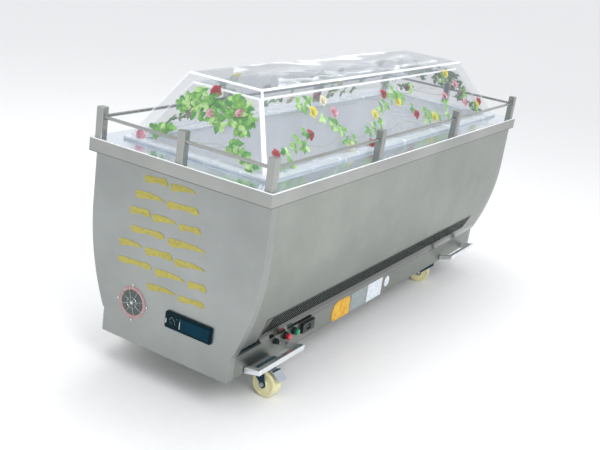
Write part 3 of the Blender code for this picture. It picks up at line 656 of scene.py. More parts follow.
BACKING_MARGIN, BACKING_DEPTH, BACKING_FOLD = 0.006, 0.009, 0.004
PLINTH_EXTRA = 0.0005  # the plinth's sheet is thicker by this
RIM_SHADOW_BAND = 0.004  # height of the dark band of painted shadow at the rim's foot
CHAMBER_CORNER = 0.014


def hull_half_width(height):
    """Half width of the cabinet's curved side at a height."""
    drop = max(BEND_Z - height, 0.0)
    return HULL_HALF_TOP - BEND_RADIUS + sqrt(BEND_RADIUS ** 2 - drop ** 2)


def make_end_cap(sizes):
    """Front end cap: a sheet drawn up in steps along the side's curve, its outline folded back."""
    (_, face_y, foot), (_, fold_y, head) = CAP_FRONT
    width, height = PLINTH_HALF, PLINTH_TOP
    cap = add_sheet("end_cap", ((-width, face_y, foot), (width, face_y, foot), (width, face_y, height),
                                (-width, face_y, height)), "end_steel")
    ledge = PLINTH_TOP + CAP_LEDGE
    with editing(cap):
        pick(*edges(lambda edge: middle(edge).z > PLINTH_TOP - NEAR and abs(middle(edge).x) < NEAR))
        for target in [ledge + (BEND_Z - ledge) * step / CAP_STEPS for step in range(CAP_STEPS + 1)] + [head]:
            extrude((0.0, 0.0, target - height))
            widen((hull_half_width(target) / width, 1.0, 1.0), (0.0, face_y, target))
            height, width = target, hull_half_width(target)
        pick(*OPEN)
        extrude((0.0, fold_y - face_y, 0.0))
    outward(cap)
    work(cap, (edges(lambda edge: is_sharp(edge) and abs(middle(edge).y - face_y) < NEAR), bevel,
               sizes.corner_bend, 3))
    return thicken(cap, sizes.sheet)


def make_side_panel(sizes):
    """Right side sheet: upright above, its lower edge spun in along the bend, foot folded under."""
    (_, _, foot), (_, half, head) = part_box("side_panel_right")
    low, high = GRILLE_RIGHT
    panel = add_sheet("side_panel", [(HULL_HALF_TOP, y, z) for y, z in (
        (-half, BEND_Z), (half, BEND_Z), (half, head), (-half, head))], "side_steel", "strip_steel")

    def spin():
        bpy.ops.mesh.spin(steps=BEND_STEPS, angle=asin((BEND_Z - foot) / BEND_RADIUS), axis=(0.0, -1.0, 0.0),
                          center=(HULL_HALF_TOP - BEND_RADIUS, 0.0, BEND_Z))

    work(panel, (edges(lambda edge: abs(middle(edge).z - BEND_Z) < NEAR), spin),
         *((None, cut, axis, corner[axis]) for axis in (Y, Z) for corner in GRILLE_RIGHT),
         (faces(lambda face: is_inside(face, low, high)), drop_faces),
         (edges(lambda edge: edge.is_boundary and abs(middle(edge).z - foot) < 1e-3), extrude,
          (-FOOT_FOLD, 0.0, 0.0)),
         # the strip below the grille takes the darkened strip finish: painted dark reflection
         (faces(lambda face: middle(face).z < low.z), paint, 1))
    face_out(panel, X, 1)
    return thicken(panel, sizes.sheet)


def make_grille(sizes):
    """Right grille: a slanted cell with its slot, repeated along the strip between two end plates."""
    low, high = GRILLE_RIGHT
    foot_x, head_x = hull_half_width(low.z) + GRILLE_PROUD, hull_half_width(high.z) + GRILLE_PROUD
    lean = sizes.slot_lean * (high.z - low.z)
    pitch = (high.y - low.y - lean) / sizes.slots
    slot = faces(lambda face: SLOT_FOOT < middle(face).z < SLOT_HEAD)

    # the grille's margins take the darkened margin finish: painted dark reflection
    def slanted(name, foot_start, foot_end, head_start, head_end):
        return add_sheet(name, ((foot_x, foot_start, low.z), (foot_x, foot_end, low.z),
                                (head_x, head_end, high.z), (head_x, head_start, high.z)),
                         "margin_steel", "grille_steel")

    cell = work(slanted("vent_grille", low.y, low.y + pitch, low.y + lean, low.y + lean + pitch),
                (None, cut, Z, SLOT_FOOT), (None, cut, Z, SLOT_HEAD),
                (slot, lambda: inset(BAR_SHARE * pitch, use_boundary=True)), (None, drop_faces),
                (slot, paint, 1))
    modify(cell, "ARRAY", count=sizes.slots, use_relative_offset=False, use_constant_offset=True,
           constant_offset_displace=(0.0, pitch, 0.0), use_merge_vertices=True, merge_threshold=MERGE)
    first = slanted("grille_end", low.y, low.y + NEAR, low.y, low.y + lean)
    last = slanted("grille_end", high.y - lean, high.y, high.y - NEAR, high.y)
    strip = join("vent_grille", [first, last, cell])
    face_out(strip, X, 1)
    return thicken(strip, GRILLE_SHEET)


def make_backing(sizes):
    """Near-black sheet close behind the right grille, its edges turned in: painted shade of the hollow seen
    through the slots.
    """
    (_, start, foot), (_, end, head) = GRILLE_RIGHT
    margin = BACKING_MARGIN
    backing = add_sheet("grille_backing", [
        (hull_half_width(z) - BACKING_DEPTH, y, z + rise) for y, z, rise in (
            (start - margin, foot, -margin), (end + margin, foot, -margin), (end + margin, head, margin),
            (start - margin, head, margin))], "hollow_dark")
    outward(work(backing, (OPEN, extrude, (BACKING_FOLD, 0.0, 0.0))))
    return thicken(backing, sizes.sheet)


def make_plinth(sizes):
    """Plinth tray: a block opened above, its folds rounded."""
    plinth = work(add_block("base_plinth_tray", *PLINTH, "side_steel"), (UP, drop_faces),
                  (SHARED, bevel, sizes.corner_bend, 3))
    mount(thicken(plinth, sizes.sheet + PLINTH_EXTRA), "base_plinth")


def make_rim(sizes):
    """Rim: a block whose top is inset to the deck's opening and whose bottom keeps only a lip."""
    low, high = RIM
    lip = high.x - HULL_HALF_TOP - AIR
    shadow_line = low.z + RIM_SHADOW_BAND
    rim = add_block("rim_and_deck", low, high, "rim_steel", "deck_steel", "seam_dark", "edge_steel")
    work(rim, (UP, inset, high.x - CHAMBER_HALF.x), (None, drop_faces), (DOWN, inset, lip),
         (None, widen, (1.0, (CAP_FRONT[0].y - AIR) / (low.y + lip), 1.0), (0.0, 0.0, low.z)),
         (None, drop_faces), (UP, paint, 1), (edges(is_sharp), bevel, sizes.rim_bend, 3),
         # the sloped faces of the top fold turn near-white: painted highlight along the rim's edge
         (faces(lambda face: middle(face).z > high.z - 0.01 and 0.1 < face.normal.z < 0.99), paint, 3),
         # the side faces below this height turn dark: painted shadow under the skirt's hem
         (None, cut, Z, shadow_line),
         (faces(lambda face: middle(face).z < shadow_line and abs(face.normal.z) < 0.9), paint, 2))
    mount(thicken(rim, sizes.sheet), "top_rim")


def make_tub(sizes):
    """Cold chamber: a block opened above, its corners rounded, its top edge folded out as a flange."""
    half, half_length, top = CHAMBER_HALF
    tub = add_block("cold_chamber", (-half, -half_length, TUB[0].z + sizes.sheet), CHAMBER_HALF, "tub_steel")
    work(tub, (UP, drop_faces), (SHARED, bevel, CHAMBER_CORNER, 5), (OPEN, extrude),
         (None, widen, (TUB[1].x / half, TUB[1].y / half_length, 1.0), (0.0, 0.0, top)))
    mount(thicken(tub, sizes.sheet, 1.0), "inner_tub")


class COFFIN_OT_cabinet(bpy.types.Operator):
    """Model the end caps, side panels, grilles, plinth, rim and cold chamber"""
    bl_idname = "coffin.cabinet"
    bl_label = "Cabinet"

    def execute(self, context):
        sizes = context.scene.coffin_sizes
        for names, ending, mirror, piece, slot in (
                (("end_cap_front", "end_cap_rear"), "_sheet", MIRROR_Y, make_end_cap(sizes),
                 "cabinet_steel"),
                (("side_panel_right", "side_panel_left"), "_sheet", MIRROR_X, make_side_panel(sizes),
                 "cabinet_steel"),
                (("vent_grille_right", "vent_grille_left"), "_sheet", MIRROR_X, make_grille(sizes),
                 "grille_dark"),
                (("grille_backing_right", "grille_backing_left"), "", MIRROR_X, make_backing(sizes),
                 None)):
            twin = copy_piece(piece, names[1] + ending, mirror)
            piece.name = piece.data.name = names[0] + ending
            for each, name in zip((piece, twin), names):
                mount(each, name if slot else None)
        make_plinth(sizes)
        make_rim(sizes)
        make_tub(sizes)
        return {"FINISHED"}


# The clear cover.

COVER_FOOT = Vector((*RING[1].xy, RIM[1].z))
COVER_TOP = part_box("cover_outer_skin")[1].z
COVER_RISE = COVER_TOP - COVER_FOOT.z
COVER_HEADS = (0.152, 0.901, 0.806)  # half width, front and rear of the cover's top
WALL_RUNS = tuple(foot - head for foot, head in zip((*COVER_FOOT.xy, COVER_FOOT.y), COVER_HEADS))
SIDE_SPACE = 0.026  # between the faces of the two skins
SKIN_SPARE = 0.012  # made longer below and cut off level once the skin has its thickness
RING_WIDTH = 0.054


def cover_section(height, depth):
    """Half width, front and rear of the cover at a height, its slopes moved in by depth."""
    share = (height - COVER_FOOT.z) / COVER_RISE
    half, front, rear = (foot - share * run - depth * sqrt(1.0 + (run / COVER_RISE) ** 2)
                         for foot, run in zip((*COVER_FOOT.xy, COVER_FOOT.y), WALL_RUNS))
    return half, -front, rear


def make_skin(name, node, depth, top, sizes, finish_name):
    """Skin of the cover: a block whose head is drawn in, ridges bevelled, thickened, its foot cut level."""
    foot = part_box(node)[0].z
    below = foot - SKIN_SPARE
    half, front, rear = cover_section(below, depth)
    head_half, head_front, head_rear = cover_section(top, depth)
    skin = add_block(name, (-half, front, below), (half, rear, top), finish_name, "acrylic_edge",
                     finish_name + "_top")
    # the top faces take the skin's darker top finish: painted shade
    work(skin, (UP, widen, (head_half / half, (head_rear - head_front) / (rear - front), 1.0),
                (0.0, (front + rear) / 2, top)),
         (None, move, 0.0, (head_front + head_rear - front - rear) / 2, 0.0),
         # the ridges' bevels take the white edge finish: glue seam with a painted highlight
         (DOWN, drop_faces), (UP, paint, 2), (SHARED, bevel, sizes.ridge, 3, 1))
    outward(work(thicken(skin, sizes.acrylic), (None, lambda: cut(Z, foot, clear_inner=True)),
                 (OPEN, bpy.ops.mesh.bridge_edge_loops)))
    skin.visible_shadow = False
    mount(skin, node, 20.0)


def make_ring():
    """Foot ring: a block's four sides thickened inwards, edges eased; its pale frosted finish is partly a
    painted highlight.
    """
    ring = work(add_block("cover_foot_ring", *RING, "frosted_acrylic"),
                (faces(lambda face: abs(face.normal.z) > 0.9), drop_faces))
    mount(soften(thicken(ring, RING_WIDTH), 0.0012), "cover_ring")


class COFFIN_OT_cover(bpy.types.Operator):
    """Model the clear cover: foot ring, outer skin and inner skin"""
    bl_idname = "coffin.cover"
    bl_label = "Clear cover"

    def execute(self, context):
        sizes = context.scene.coffin_sizes
        make_ring()
        make_skin("cover_skin_outer", "cover_outer_skin", 0.0, COVER_TOP, sizes, "clear_acrylic")
        make_skin("cover_skin_inner", "cover_inner_skin", SIDE_SPACE, INNER_SKIN[1].z, sizes,
                  "inner_acrylic")
        return {"FINISHED"}


# The guard rail.

POST_HALF = (POST[1].x - POST[0].x) / 2
POST_ROWS = (-0.365, 0.365)  # the two posts between the corners of a long side
POST_CORNER = 0.0035
COLLAR_RADIUS, COLLAR_HALF, COLLAR_AWAY = 0.0084, 0.0015, 0.0016  # its half length, and middle to post


def make_post():
    """Square tube with rounded corners and a cap let into its head."""
    return work(
        add_block("post", *POST, "post_steel"),
        (edges(lambda edge: reach(edge, Z) > 0.05), bevel, POST_CORNER, 3),
        (UP, inset, 0.0012), (None, inset, 0.0004, -0.0009),
        (edges(lambda edge: middle(edge).z > POST[1].z - NEAR and is_sharp(edge)
               and not any(face.normal.z > 0.9 and face.calc_area() > 5e-4 for face in edge.link_faces)),
         bevel, 0.0005))


def rounded_rod(name, start, end, radius, sides, width):
    """Rod of the rail's steel with rounded rims."""
    return work(add_rod(name, start, end, radius, sides, "rail_steel"), (edges(is_sharp), bevel, width))


def make_rail(node, sizes):
    """Round rail between its corner posts, with weld collars at each post it meets."""
    low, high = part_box(node)
    axis = X if high.x - low.x > high.y - low.y else Y
    centre = (low + high) / 2

    def at(place):
        point = centre.copy()
        point[axis] = place
        return point

    rail = rounded_rod(node + "_tube", at(low[axis]), at(high[axis]), sizes.rail_width / 2, 24, 0.0008)
    collars = []
    half = AXES[axis] * COLLAR_HALF
    stops = [(low[axis], 1), (high[axis], -1)]
    for place in (0.0,) if axis == X else POST_ROWS:
        stops += [(place - POST_HALF, -1), (place + POST_HALF, 1)]
    for stop, towards in stops:
        place = at(stop + towards * COLLAR_AWAY)
        collars.append(rounded_rod("collar", place - half, place + half, COLLAR_RADIUS, 20, 0.0009))
    mount(join(node + "_tube", collars + [rail]), node, 40.0)


def nodes_named(start):
    return sorted(name for name in frame["nodes"] if name.startswith(start))


class COFFIN_OT_guard_rail(bpy.types.Operator):
    """Model the ten posts and the four rails"""
    bl_idname = "coffin.guard_rail"
    bl_label = "Guard rail"

    def execute(self, context):
        post = make_post()
        for node in nodes_named("post_"):
            shift = Matrix.Translation(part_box(node)[0] - POST[0])
            mount(copy_piece(post, node + "_tube", shift), node)
        discard([post])
        for node in nodes_named("rail_"):
            make_rail(node, context.scene.coffin_sizes)
        return {"FINISHED"}


# The outriggers and casters.

JOINTS = {joint["name"]: joint for joint in frame["joints"]}
CORNERS = ("front_right", "front_left", "rear_right", "rear_left")
WHEEL_RADIUS = JOINTS["roll_front_right"]["pos_m"][2]
WHEEL_HALF = 0.024
WHEEL_INSETS = (  # width and rise of each inset: tyre's edge, its wall, web, hub's wall, hub, bearing
    (0.0035, 0.0), (0.003, -0.004), (0.0205, 0.0), (0.002, 0.0045), (0.0035, 0.0), (0.0006, -0.002))
FORK_REACH = 0.0303  # from the wheel's middle to the washer
AXLE_END = 0.0055  # how far the axle stands out of the fork
AXLE_FITTINGS = (  # start and end past the fork, radius and sides: washer, nut
    (0.0, 0.001, 0.0086, 24), (0.0011, 0.005, 0.0078, 6))
BOLT_X, BOLT_Y = 0.030, 0.043  # the plate's bolts from its middle
PEDAL_RIBS = (0.012, 0.021, 0.030)  # places down the pedal's pad
PEDAL_PLACE = (0.020, 0.0, 0.109)  # of the pad's upper edge, from the swivel at floor level
POCKET_SHADE_PADS = ((0.0235, 0.060), (0.065, 0.176))  # start and end of each pad along the outrigger
OUTRIGGER_TUBE = 0.022


def on_axle(corner):
    """Place and turn of a caster's axle: local Z runs along it."""
    joint = JOINTS["roll_" + corner]
    turn = Vector(joint["axis"]).to_track_quat("Z", "Y").to_matrix().to_4x4()
    return Matrix.Translation(joint["pos_m"]) @ turn


def on_hub(corner):
    """Place and turn of a caster's swivel at floor level: local X points to the wheel."""
    swivel, roll = (Vector(JOINTS[kind + corner]["pos_m"]) for kind in ("swivel_", "roll_"))
    trail = roll - swivel
    return Matrix.Translation((swivel.x, swivel.y, 0.0)) @ Matrix.Rotation(atan2(trail.y, trail.x), 4, "Z")


def make_wheel():
    """Nylon wheel: crowned tread, recessed web and hub, from a cylinder whose caps are inset in turn."""
    caps = faces(lambda face: len(face.verts) > 8)
    wheel = add_rod("wheel", (0, 0, -WHEEL_HALF), (0, 0, WHEEL_HALF), WHEEL_RADIUS, 48, "wheel_nylon")
    work(wheel, (edges(is_sharp), bevel, 0.0065, 4), *((caps, inset, *step) for step in WHEEL_INSETS))
    return soften(wheel, 0.0006, 1, 40.0)


def make_axle():
    """Axle bolt with a washer and a hexagon nut on each side, all its rims rounded."""
    end = FORK_REACH + AXLE_END
    rods = [(-end, end, 0.0048, 20)]
    for side in (-1, 1):
        rods += [(side * (FORK_REACH + start), side * (FORK_REACH + stop), radius, sides)
                 for start, stop, radius, sides in AXLE_FITTINGS]
    return soften(join("axle", [add_rod("axle", (0, 0, start), (0, 0, stop), radius, sides, "zinc_steel")
                                for start, stop, radius, sides in rods]), 0.0005)


def make_seat_bolts(corner):
    """Hexagon bolt heads under the caster's plate."""
    low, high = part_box("caster_plate_" + corner)
    middle_x, middle_y, _ = (low + high) / 2
    bolts = [add_rod("bolt", (middle_x + x, middle_y + y, high.z - 0.004),
                     (middle_x + x, middle_y + y, high.z - 0.0075), 0.0052, 6, "zinc_steel")
             for x in (-BOLT_X, BOLT_X) for y in (-BOLT_Y, BOLT_Y)]
    return soften(join("bolts", bolts), 0.0004)


def make_pedal_grip(corner):
    """Black grip along the pedal's upper edge and three ribs down its pad."""
    grip = add_block("grip", (0.0455, -0.0225, 0.0012), (0.0525, 0.0225, 0.0027), "fitting_black")
    slope = Vector((0.032, 0.0, -0.026)).normalized()
    ribs = []
    for run in PEDAL_RIBS:
        x, _, z = Vector((0.0525, 0.0, 0.0015)) + slope * run
        ribs.append(add_rod("rib", (x, -0.020, z), (x, 0.020, z), 0.0012, 8, "zinc_steel"))
    whole = soften(join("brake_grip_" + corner, ribs + [grip]), 0.0005)
    whole.data.transform(on_hub(corner) @ Matrix.Translation(PEDAL_PLACE))
    mount(whole, body="pedal_" + corner)


class COFFIN_OT_casters(bpy.types.Operator):
    """Model the four casters: plates, forks, axles, wheels and brake pedals"""
    bl_idname = "coffin.casters"
    bl_label = "Casters"

    def execute(self, context):
        wheel, axle = make_wheel(), make_axle()
        for corner in CORNERS:
            place = on_axle(corner)
            pieces = [
                (copy_piece(wheel, "wheel_" + corner, place), "wheel_nylon", "caster_wheel_", 35.0, "wheel_"),
                (copy_piece(axle, "axle_" + corner, place), "caster_steel", "caster_axle_", 30.0, "fork_"),
                (copy_node("caster_fork_" + corner, "fork_" + corner, "fork_dark", 0.0011), "fork_dark",
                 "caster_fork_", 35.0, "fork_")]
            plate = copy_node("caster_plate_" + corner, "plate_" + corner, "zinc_steel", 0.0008)
            if corner.startswith("front"):
                pieces.append((copy_node("brake_pedal_" + corner, "pedal_" + corner, "zinc_steel", 0.0006),
                               "caster_steel", "brake_pedal_", 30.0, "pedal_"))
                make_pedal_grip(corner)
            for piece, slot, node, smooth, body in pieces:
                mount(piece, node + corner, smooth, body + corner)
            mount(join("plate_" + corner, [make_seat_bolts(corner), plate]),
                  "caster_plate_" + corner)
        discard((wheel, axle))
        return {"FINISHED"}


def make_pocket_shade_pads(corner):
    """Two dark teal pads on the tilted seat plate in a front outrigger's pocket, apart by a pale gap: painted
    shade and dark reflection of the pocket.
    """
    low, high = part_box("outrigger_" + corner)
    side = 1.0 if corner.endswith("right") else -1.0
    outer = max(high.x, -low.x)
    slope = side * (high.z - low.z - OUTRIGGER_TUBE) / (outer - PLINTH_HALF)
    inner_x, outer_x = sorted((side * (PLINTH_HALF + 0.010), side * (outer - OUTRIGGER_TUBE - 0.001)))
    pads = [soften(add_block("pad", (inner_x, low.y + start, 0.0), (outer_x, low.y + end, 0.003),
                             "hollow_blue"), 0.0008) for start, end in POCKET_SHADE_PADS]
    whole = join("seat_pad_" + corner, pads)
    tilt = Matrix.Translation((0.0, 0.0, low.z + 0.0042 - abs(slope) * PLINTH_HALF))
    tilt[Z][X] = slope
    whole.data.transform(tilt)
    mount(whole)


class COFFIN_OT_outriggers(bpy.types.Operator):
    """Model the four outriggers and the dark pads of painted shade in the front ones' pockets"""
    bl_idname = "coffin.outriggers"
    bl_label = "Outriggers"

    def execute(self, context):
        for corner in CORNERS:
            node = "outrigger_" + corner
            mount(copy_node(node, node + "_tube", "outrigger_steel", 0.0020, 3), node, 40.0)
            if corner.startswith("front"):
                make_pocket_shade_pads(corner)
        return {"FINISHED"}


# Fittings of the front: loudspeaker and control panel.

FACE_Y = CAP_FRONT[0].y


def centre_of(node):
    low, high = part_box(node)
    return (low + high) / 2


def front_turned(piece, x, z):
    """Stand a piece modelled round +Z on the front face, its top towards the viewer."""
    piece.data.transform(Matrix.Translation((x, FACE_Y - AIR, z)) @ Matrix.Rotation(pi / 2, 4, "X"))
    return piece


def side_turned(piece, x, y, z):
    """Stand a piece modelled round +Z on the right side, its top outwards."""
    piece.data.transform(Matrix.Translation((x, y, z)) @ Matrix.Rotation(pi / 2, 4, "Y"))
    return piece


def around_centre(radius, turn, height=0.0):
    return Vector((radius * cos(turn), radius * sin(turn), height))


SPOKES, SPOKE_START, SPOKE_ENDS = 8, 0.3, (0.050, 0.0545)  # number, first turn, short and long ends
GUARD_RADIUS = 0.021
SCREWS, SCREW_RADIUS, SCREW_START = 4, 0.0655, radians(2.0)


class COFFIN_OT_speaker(bpy.types.Operator):
    """Model the loudspeaker: painted ring, dark cone, wire guard and screws"""
    bl_idname = "coffin.speaker"
    bl_label = "Loudspeaker"

    def execute(self, context):
        x, _, z = centre_of("speaker_ring")
        ring = add_disc("speaker_rim", 0.060, 0.0014, 48,
                        ((0.0022, 0.0012), (0.0095, 0.0), (0.0018, -0.0024)), "speaker_pink")
        cone = add_disc("speaker_cone", 0.0462, 0.0022, 48, (
            (0.005, 0.0004), (0.012, -0.0010), (0.012, -0.0004), (0.004, 0.0016), (0.004, 0.0008)),
            "speaker_mesh")
        wires = []
        for number in range(SPOKES):
            turn, end = number * tau / SPOKES + SPOKE_START, SPOKE_ENDS[number % 2]
            wires.append(add_rod("spoke", around_centre(0.004, turn, 0.0042),
                                 around_centre(end, turn, 0.0036), 0.0008, 8, "guard_wire"))
        deselect_all()
        bpy.ops.mesh.primitive_torus_add(major_radius=GUARD_RADIUS, minor_radius=0.0005,
                                         location=(0, 0, 0.004), major_segments=40, minor_segments=6)
        wires.append(settle("guard_ring", ["guard_wire"]))
        wires.append(add_disc("guard_hub", 0.0055, 0.005, 16, ((0.0015, 0.0006),), "guard_wire"))
        screws = [shifted(add_disc("screw", 0.0042, 0.0012, 16, ((0.0012, 0.0006), (0.0018, -0.0006)),
                                   "guard_wire"),
                          *around_centre(SCREW_RADIUS, number * tau / SCREWS + SCREW_START))
                  for number in range(SCREWS)]
        for piece, slot, node, smooth in (
                (soften(ring, 0.0004, 1), "speaker_pink", "speaker_ring", 35.0),
                (cone, "speaker_dark", "speaker_mesh", 50.0),
                (join("speaker_guard", wires), "speaker_dark", None, 50.0),
                (join("speaker_screws", screws), "caster_steel", None, 40.0)):
            mount(front_turned(piece, x, z), node, smooth)
        return {"FINISHED"}


PANEL_MARKS = (  # place from the panel's left end and middle, width, height, turn in degrees, finish
    (0.0045, -0.006, 0.0024, 0.016, 0.0, "white_mark"), (0.0640, -0.006, 0.0024, 0.028, 0.0, "white_mark"),
    (0.0640, 0.013, 0.0014, 0.010, 0.0, "dim_mark"), (0.021, 0.003, 0.011, 0.0016, -62.0, "dim_mark"),
    (0.027, 0.011, 0.010, 0.0016, -12.0, "dim_mark"), (0.038, 0.004, 0.014, 0.0018, 48.0, "dim_mark"),
    (0.043, -0.008, 0.008, 0.0015, 62.0, "dim_mark"), (0.025, -0.008, 0.009, 0.0015, 25.0, "dim_mark"),
    (0.050, 0.012, 0.006, 0.0014, 0.0, "dim_mark"))


def make_plate(name, box, finish_name, corner, segments, first_inset, *insets):
    """Block on the front with rounded corners, its face inset."""
    return work(add_block(name, *box, finish_name),
                (edges(lambda edge: reach(edge, Y) > 0.001), bevel, corner, segments),
                (faces(lambda face: face.normal.y < -0.9), inset, *first_inset),
                *((None, inset, *step) for step in insets))


class COFFIN_OT_controls(bpy.types.Operator):
    """Model the control panel: housing, display window and its plain marks"""
    bl_idname = "coffin.controls"
    bl_label = "Control panel"

    def execute(self, context):
        low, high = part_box("control_panel")
        housing = make_plate("control_housing", (low, high), "panel_black", 0.006, 4, (0.0022, 0.0),
                             (0.0008, -0.0007))
        mount(soften(housing, 0.0005, 2, 40.0), "control_panel", 35.0)
        window = make_plate("display_window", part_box("control_display"), "display_smoked", 0.003, 3,
                            (0.0015, -0.0003))
        mount(window, "control_display", 35.0)
        marks = []
        for x, z, width, height, turn, mark_finish in PANEL_MARKS:
            mark = add_block("mark", (-width / 2, low.y - 0.0002, -height / 2),
                             (width / 2, low.y + 0.0010, height / 2), mark_finish)
            mark.data.transform(Matrix.Translation((low.x + x, 0.0, (low.z + high.z) / 2 + z))
                                @ Matrix.Rotation(radians(turn), 4, "Y"))
            marks.append(soften(mark, 0.0002, 1))
        mount(join("control_marks", marks))
        return {"FINISHED"}


# Fittings of the side: fuse holder, signal lamps, inlet and blank label plates.

SIDE_X = PLINTH_HALF + AIR
SOCKET = (Vector((0.2843, -0.602, 0.176)), Vector((0.2943, -0.574, 0.198)))
PIN_PLACES = ((-0.007, 0.0015), (0.0, -0.0025), (0.007, 0.0015))  # across and up from the socket's middle
LABELS = (  # finish, start and end along the side, foot, head, radii of the corners, foot's start first
    ("label_yellow", -0.384, -0.236, 0.1308, 0.2150, (0.026, 0.006, 0.030, 0.050)),
    ("label_grey", -0.228, -0.090, 0.1308, 0.2140, (0.003,) * 4),
    ("label_white", -0.083, 0.054, 0.1308, 0.2140, (0.003,) * 4),
    ("label_white", 0.080, 0.124, 0.156, 0.206, (0.0215,) * 4))


def ribbed(disc, count, low, high, depth):
    """Push every second side face between two heights outwards as a grip rib."""
    def is_rib(face):
        x, y, z = middle(face)
        return (low < z < high and abs(face.normal.z) < 0.2
                and int((atan2(y, x) + pi) / tau * count + 1e-6) % 2 == 0)

    def push():
        bpy.ops.mesh.extrude_region_shrink_fatten(TRANSFORM_OT_shrink_fatten={"value": depth})

    return work(disc, (faces(is_rib), push))


def make_fuse_holder():
    """Black fuse holder: flange, ribbed body and a cap with a pale dot."""
    (foot, _, _), (head, _, _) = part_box("fuse_holder")
    _, y, z = centre_of("fuse_holder")
    holder = add_disc("fuse", 0.012, 0.0030, 24, (
        (0.0024, 0.0), (0.0001, 0.0110), (0.0012, 0.0006), (0.0014, 0.0), (0.0002, head - foot - 0.0156),
        (0.0009, 0.0010)), "fitting_black")
    ribbed(holder, 24, 0.004, 0.013, 0.0007)
    dot = add_disc("fuse_dot", 0.0022, 0.0004, 12, ((0.0006, 0.0),), "white_mark")
    whole = join("fuse_cap", [shifted(dot, 0, 0, head - foot), soften(holder, 0.0003, 1)])
    mount(side_turned(whole, foot, y, z), "fuse_holder", 35.0)


def make_lamp(name, lens_finish):
    """Signal lamp: black ribbed collar and a domed, ribbed lens in colour."""
    _, y, z = centre_of(name)
    collar = add_disc(name + "_bezel", 0.015, 0.0095, 32, (
        (0.0012, 0.0022), (0.0015, 0.0), (0.0003, -0.001)), "fitting_black")
    lens = add_disc(name + "_lens", 0.0112, 0.0082, 32, (
        (0.0012, 0.0014), (0.0022, 0.0013), (0.0030, 0.0010), (0.0025, 0.0004)), lens_finish)
    soften(ribbed(collar, 32, 0.002, 0.009, -0.0006), 0.0003, 1)
    ribbed(lens, 32, 0.001, 0.0075, 0.0007)
    mount(side_turned(collar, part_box(name + "_collar")[0].x, y, z), name + "_collar", 35.0)
    mount(side_turned(lens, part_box(name)[0].x, y, z), name)


def make_inlet():
    """Mains inlet: flanged housing with a shrouded socket, three pins, two screws and a pale edge line."""
    low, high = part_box("mains_inlet")
    (back, _, _), (rim, _, _) = SOCKET
    _, socket_y, socket_z = (SOCKET[0] + SOCKET[1]) / 2
    housing = work(add_block("inlet", low, high, "fitting_black"),
                   *((None, cut, axis, corner[axis]) for axis in (Y, Z) for corner in SOCKET),
                   (faces(lambda face: face.normal.x > 0.9 and is_inside(face, *SOCKET)), extrude,
                    (back - high.x, 0.0, 0.0)))
    soften(housing, 0.0010, 2, 50.0)
    details = []
    for across, up in PIN_PLACES:
        y, z = socket_y + across, socket_z + up
        pin = add_block("pin", (back - 0.0005, y - 0.0009, z - 0.0022),
                        (rim - 0.0012, y + 0.0009, z + 0.0022), "zinc_steel")
        details.append(soften(pin, 0.0004, 1))
    line = add_block("line", (high.x - 0.0006, low.y + 0.0195, low.z + 0.006),
                     (high.x, low.y + 0.0209, high.z - 0.006), "white_mark")
    details.append(soften(line, 0.0002, 1))
    for y in (low.y + 0.0085, high.y - 0.0085):
        screw = add_disc("inlet_screw", 0.0036, 0.0006, 16, ((0.0012, 0.0), (0.0002, -0.0009)), "guard_wire")
        details.append(side_turned(screw, high.x - 0.0006, y, socket_z))
    mount(join("inlet_socket", details + [housing]), "mains_inlet", 35.0)
    stud = add_disc("cable_stud", 0.0055, 0.0012, 20, ((0.0022, 0.0), (0.0001, 0.0065), (0.0007, 0.0006)),
                    "fitting_black")
    mount(side_turned(soften(stud, 0.0003, 1), SIDE_X, high.y + 0.0085, high.z - 0.0055),
          smooth=35.0)


def make_label(number, label_finish, start, end, foot, head, radii):
    """Blank label plate with rounded corners on the plinth's side."""
    def corner(y, z):
        return edges(lambda edge: reach(edge, X) > 0.0005 and abs(middle(edge).y - y) < MERGE
                     and abs(middle(edge).z - z) < MERGE)

    plate = add_block(f"side_plate_{number}", (SIDE_X, start, foot), (SIDE_X + 0.0008, end, head),
                      label_finish)
    places = ((start, foot), (end, foot), (end, head), (start, head))
    work(plate, *((corner(*place), bevel, radius, 8) for place, radius in zip(places, radii)),
         (faces(lambda face: face.normal.x > 0.9), inset, 0.0015), (None, inset, 0.0004, -0.0002))
    mount(plate)


class COFFIN_OT_side_fittings(bpy.types.Operator):
    """Model the fuse holder, the signal lamps, the inlet and the blank plates on the plinth"""
    bl_idname = "coffin.side_fittings"
    bl_label = "Side fittings"

    def execute(self, context):
        make_fuse_holder()
        make_lamp("red_lamp", "lamp_red")
        make_lamp("green_lamp", "lamp_green")
        make_inlet()
        for number, label in enumerate(LABELS):
            make_label(number + 1, *label)
        return {"FINISHED"}


# Gold brush strokes on the front.

STROKE_ROWS = (  # height, then middle, length, slope in degrees and pattern of each stroke
    (0.744, ((-0.092, 0.100, 5.0, 0), (0.022, 0.104, 5.0, 1))),
    (0.681, ((-0.112, 0.126, 4.0, 1), (0.028, 0.136, 4.0, 0))),
    (0.618, ((-0.150, 0.088, 5.0, 0), (-0.042, 0.104, 5.0, 1), (0.066, 0.090, 5.0, 0))),
    (0.555, ((-0.108, 0.150, 4.0, 0), (0.062, 0.160, 4.0, 1))),
    (0.492, ((-0.178, 0.104, 5.0, 1), (-0.052, 0.120, 5.0, 0), (0.082, 0.130, 5.0, 1))),
    (0.429, ((-0.152, 0.150, 4.0, 0), (0.004, 0.132, 4.0, 1), (0.120, 0.078, 4.0, 0))),
    (0.368, ((-0.026, 0.126, 5.0, 1), (0.104, 0.110, 5.0, 0))),
)
STROKE_LENGTH, STROKE_WIDTH = 0.12, 0.026
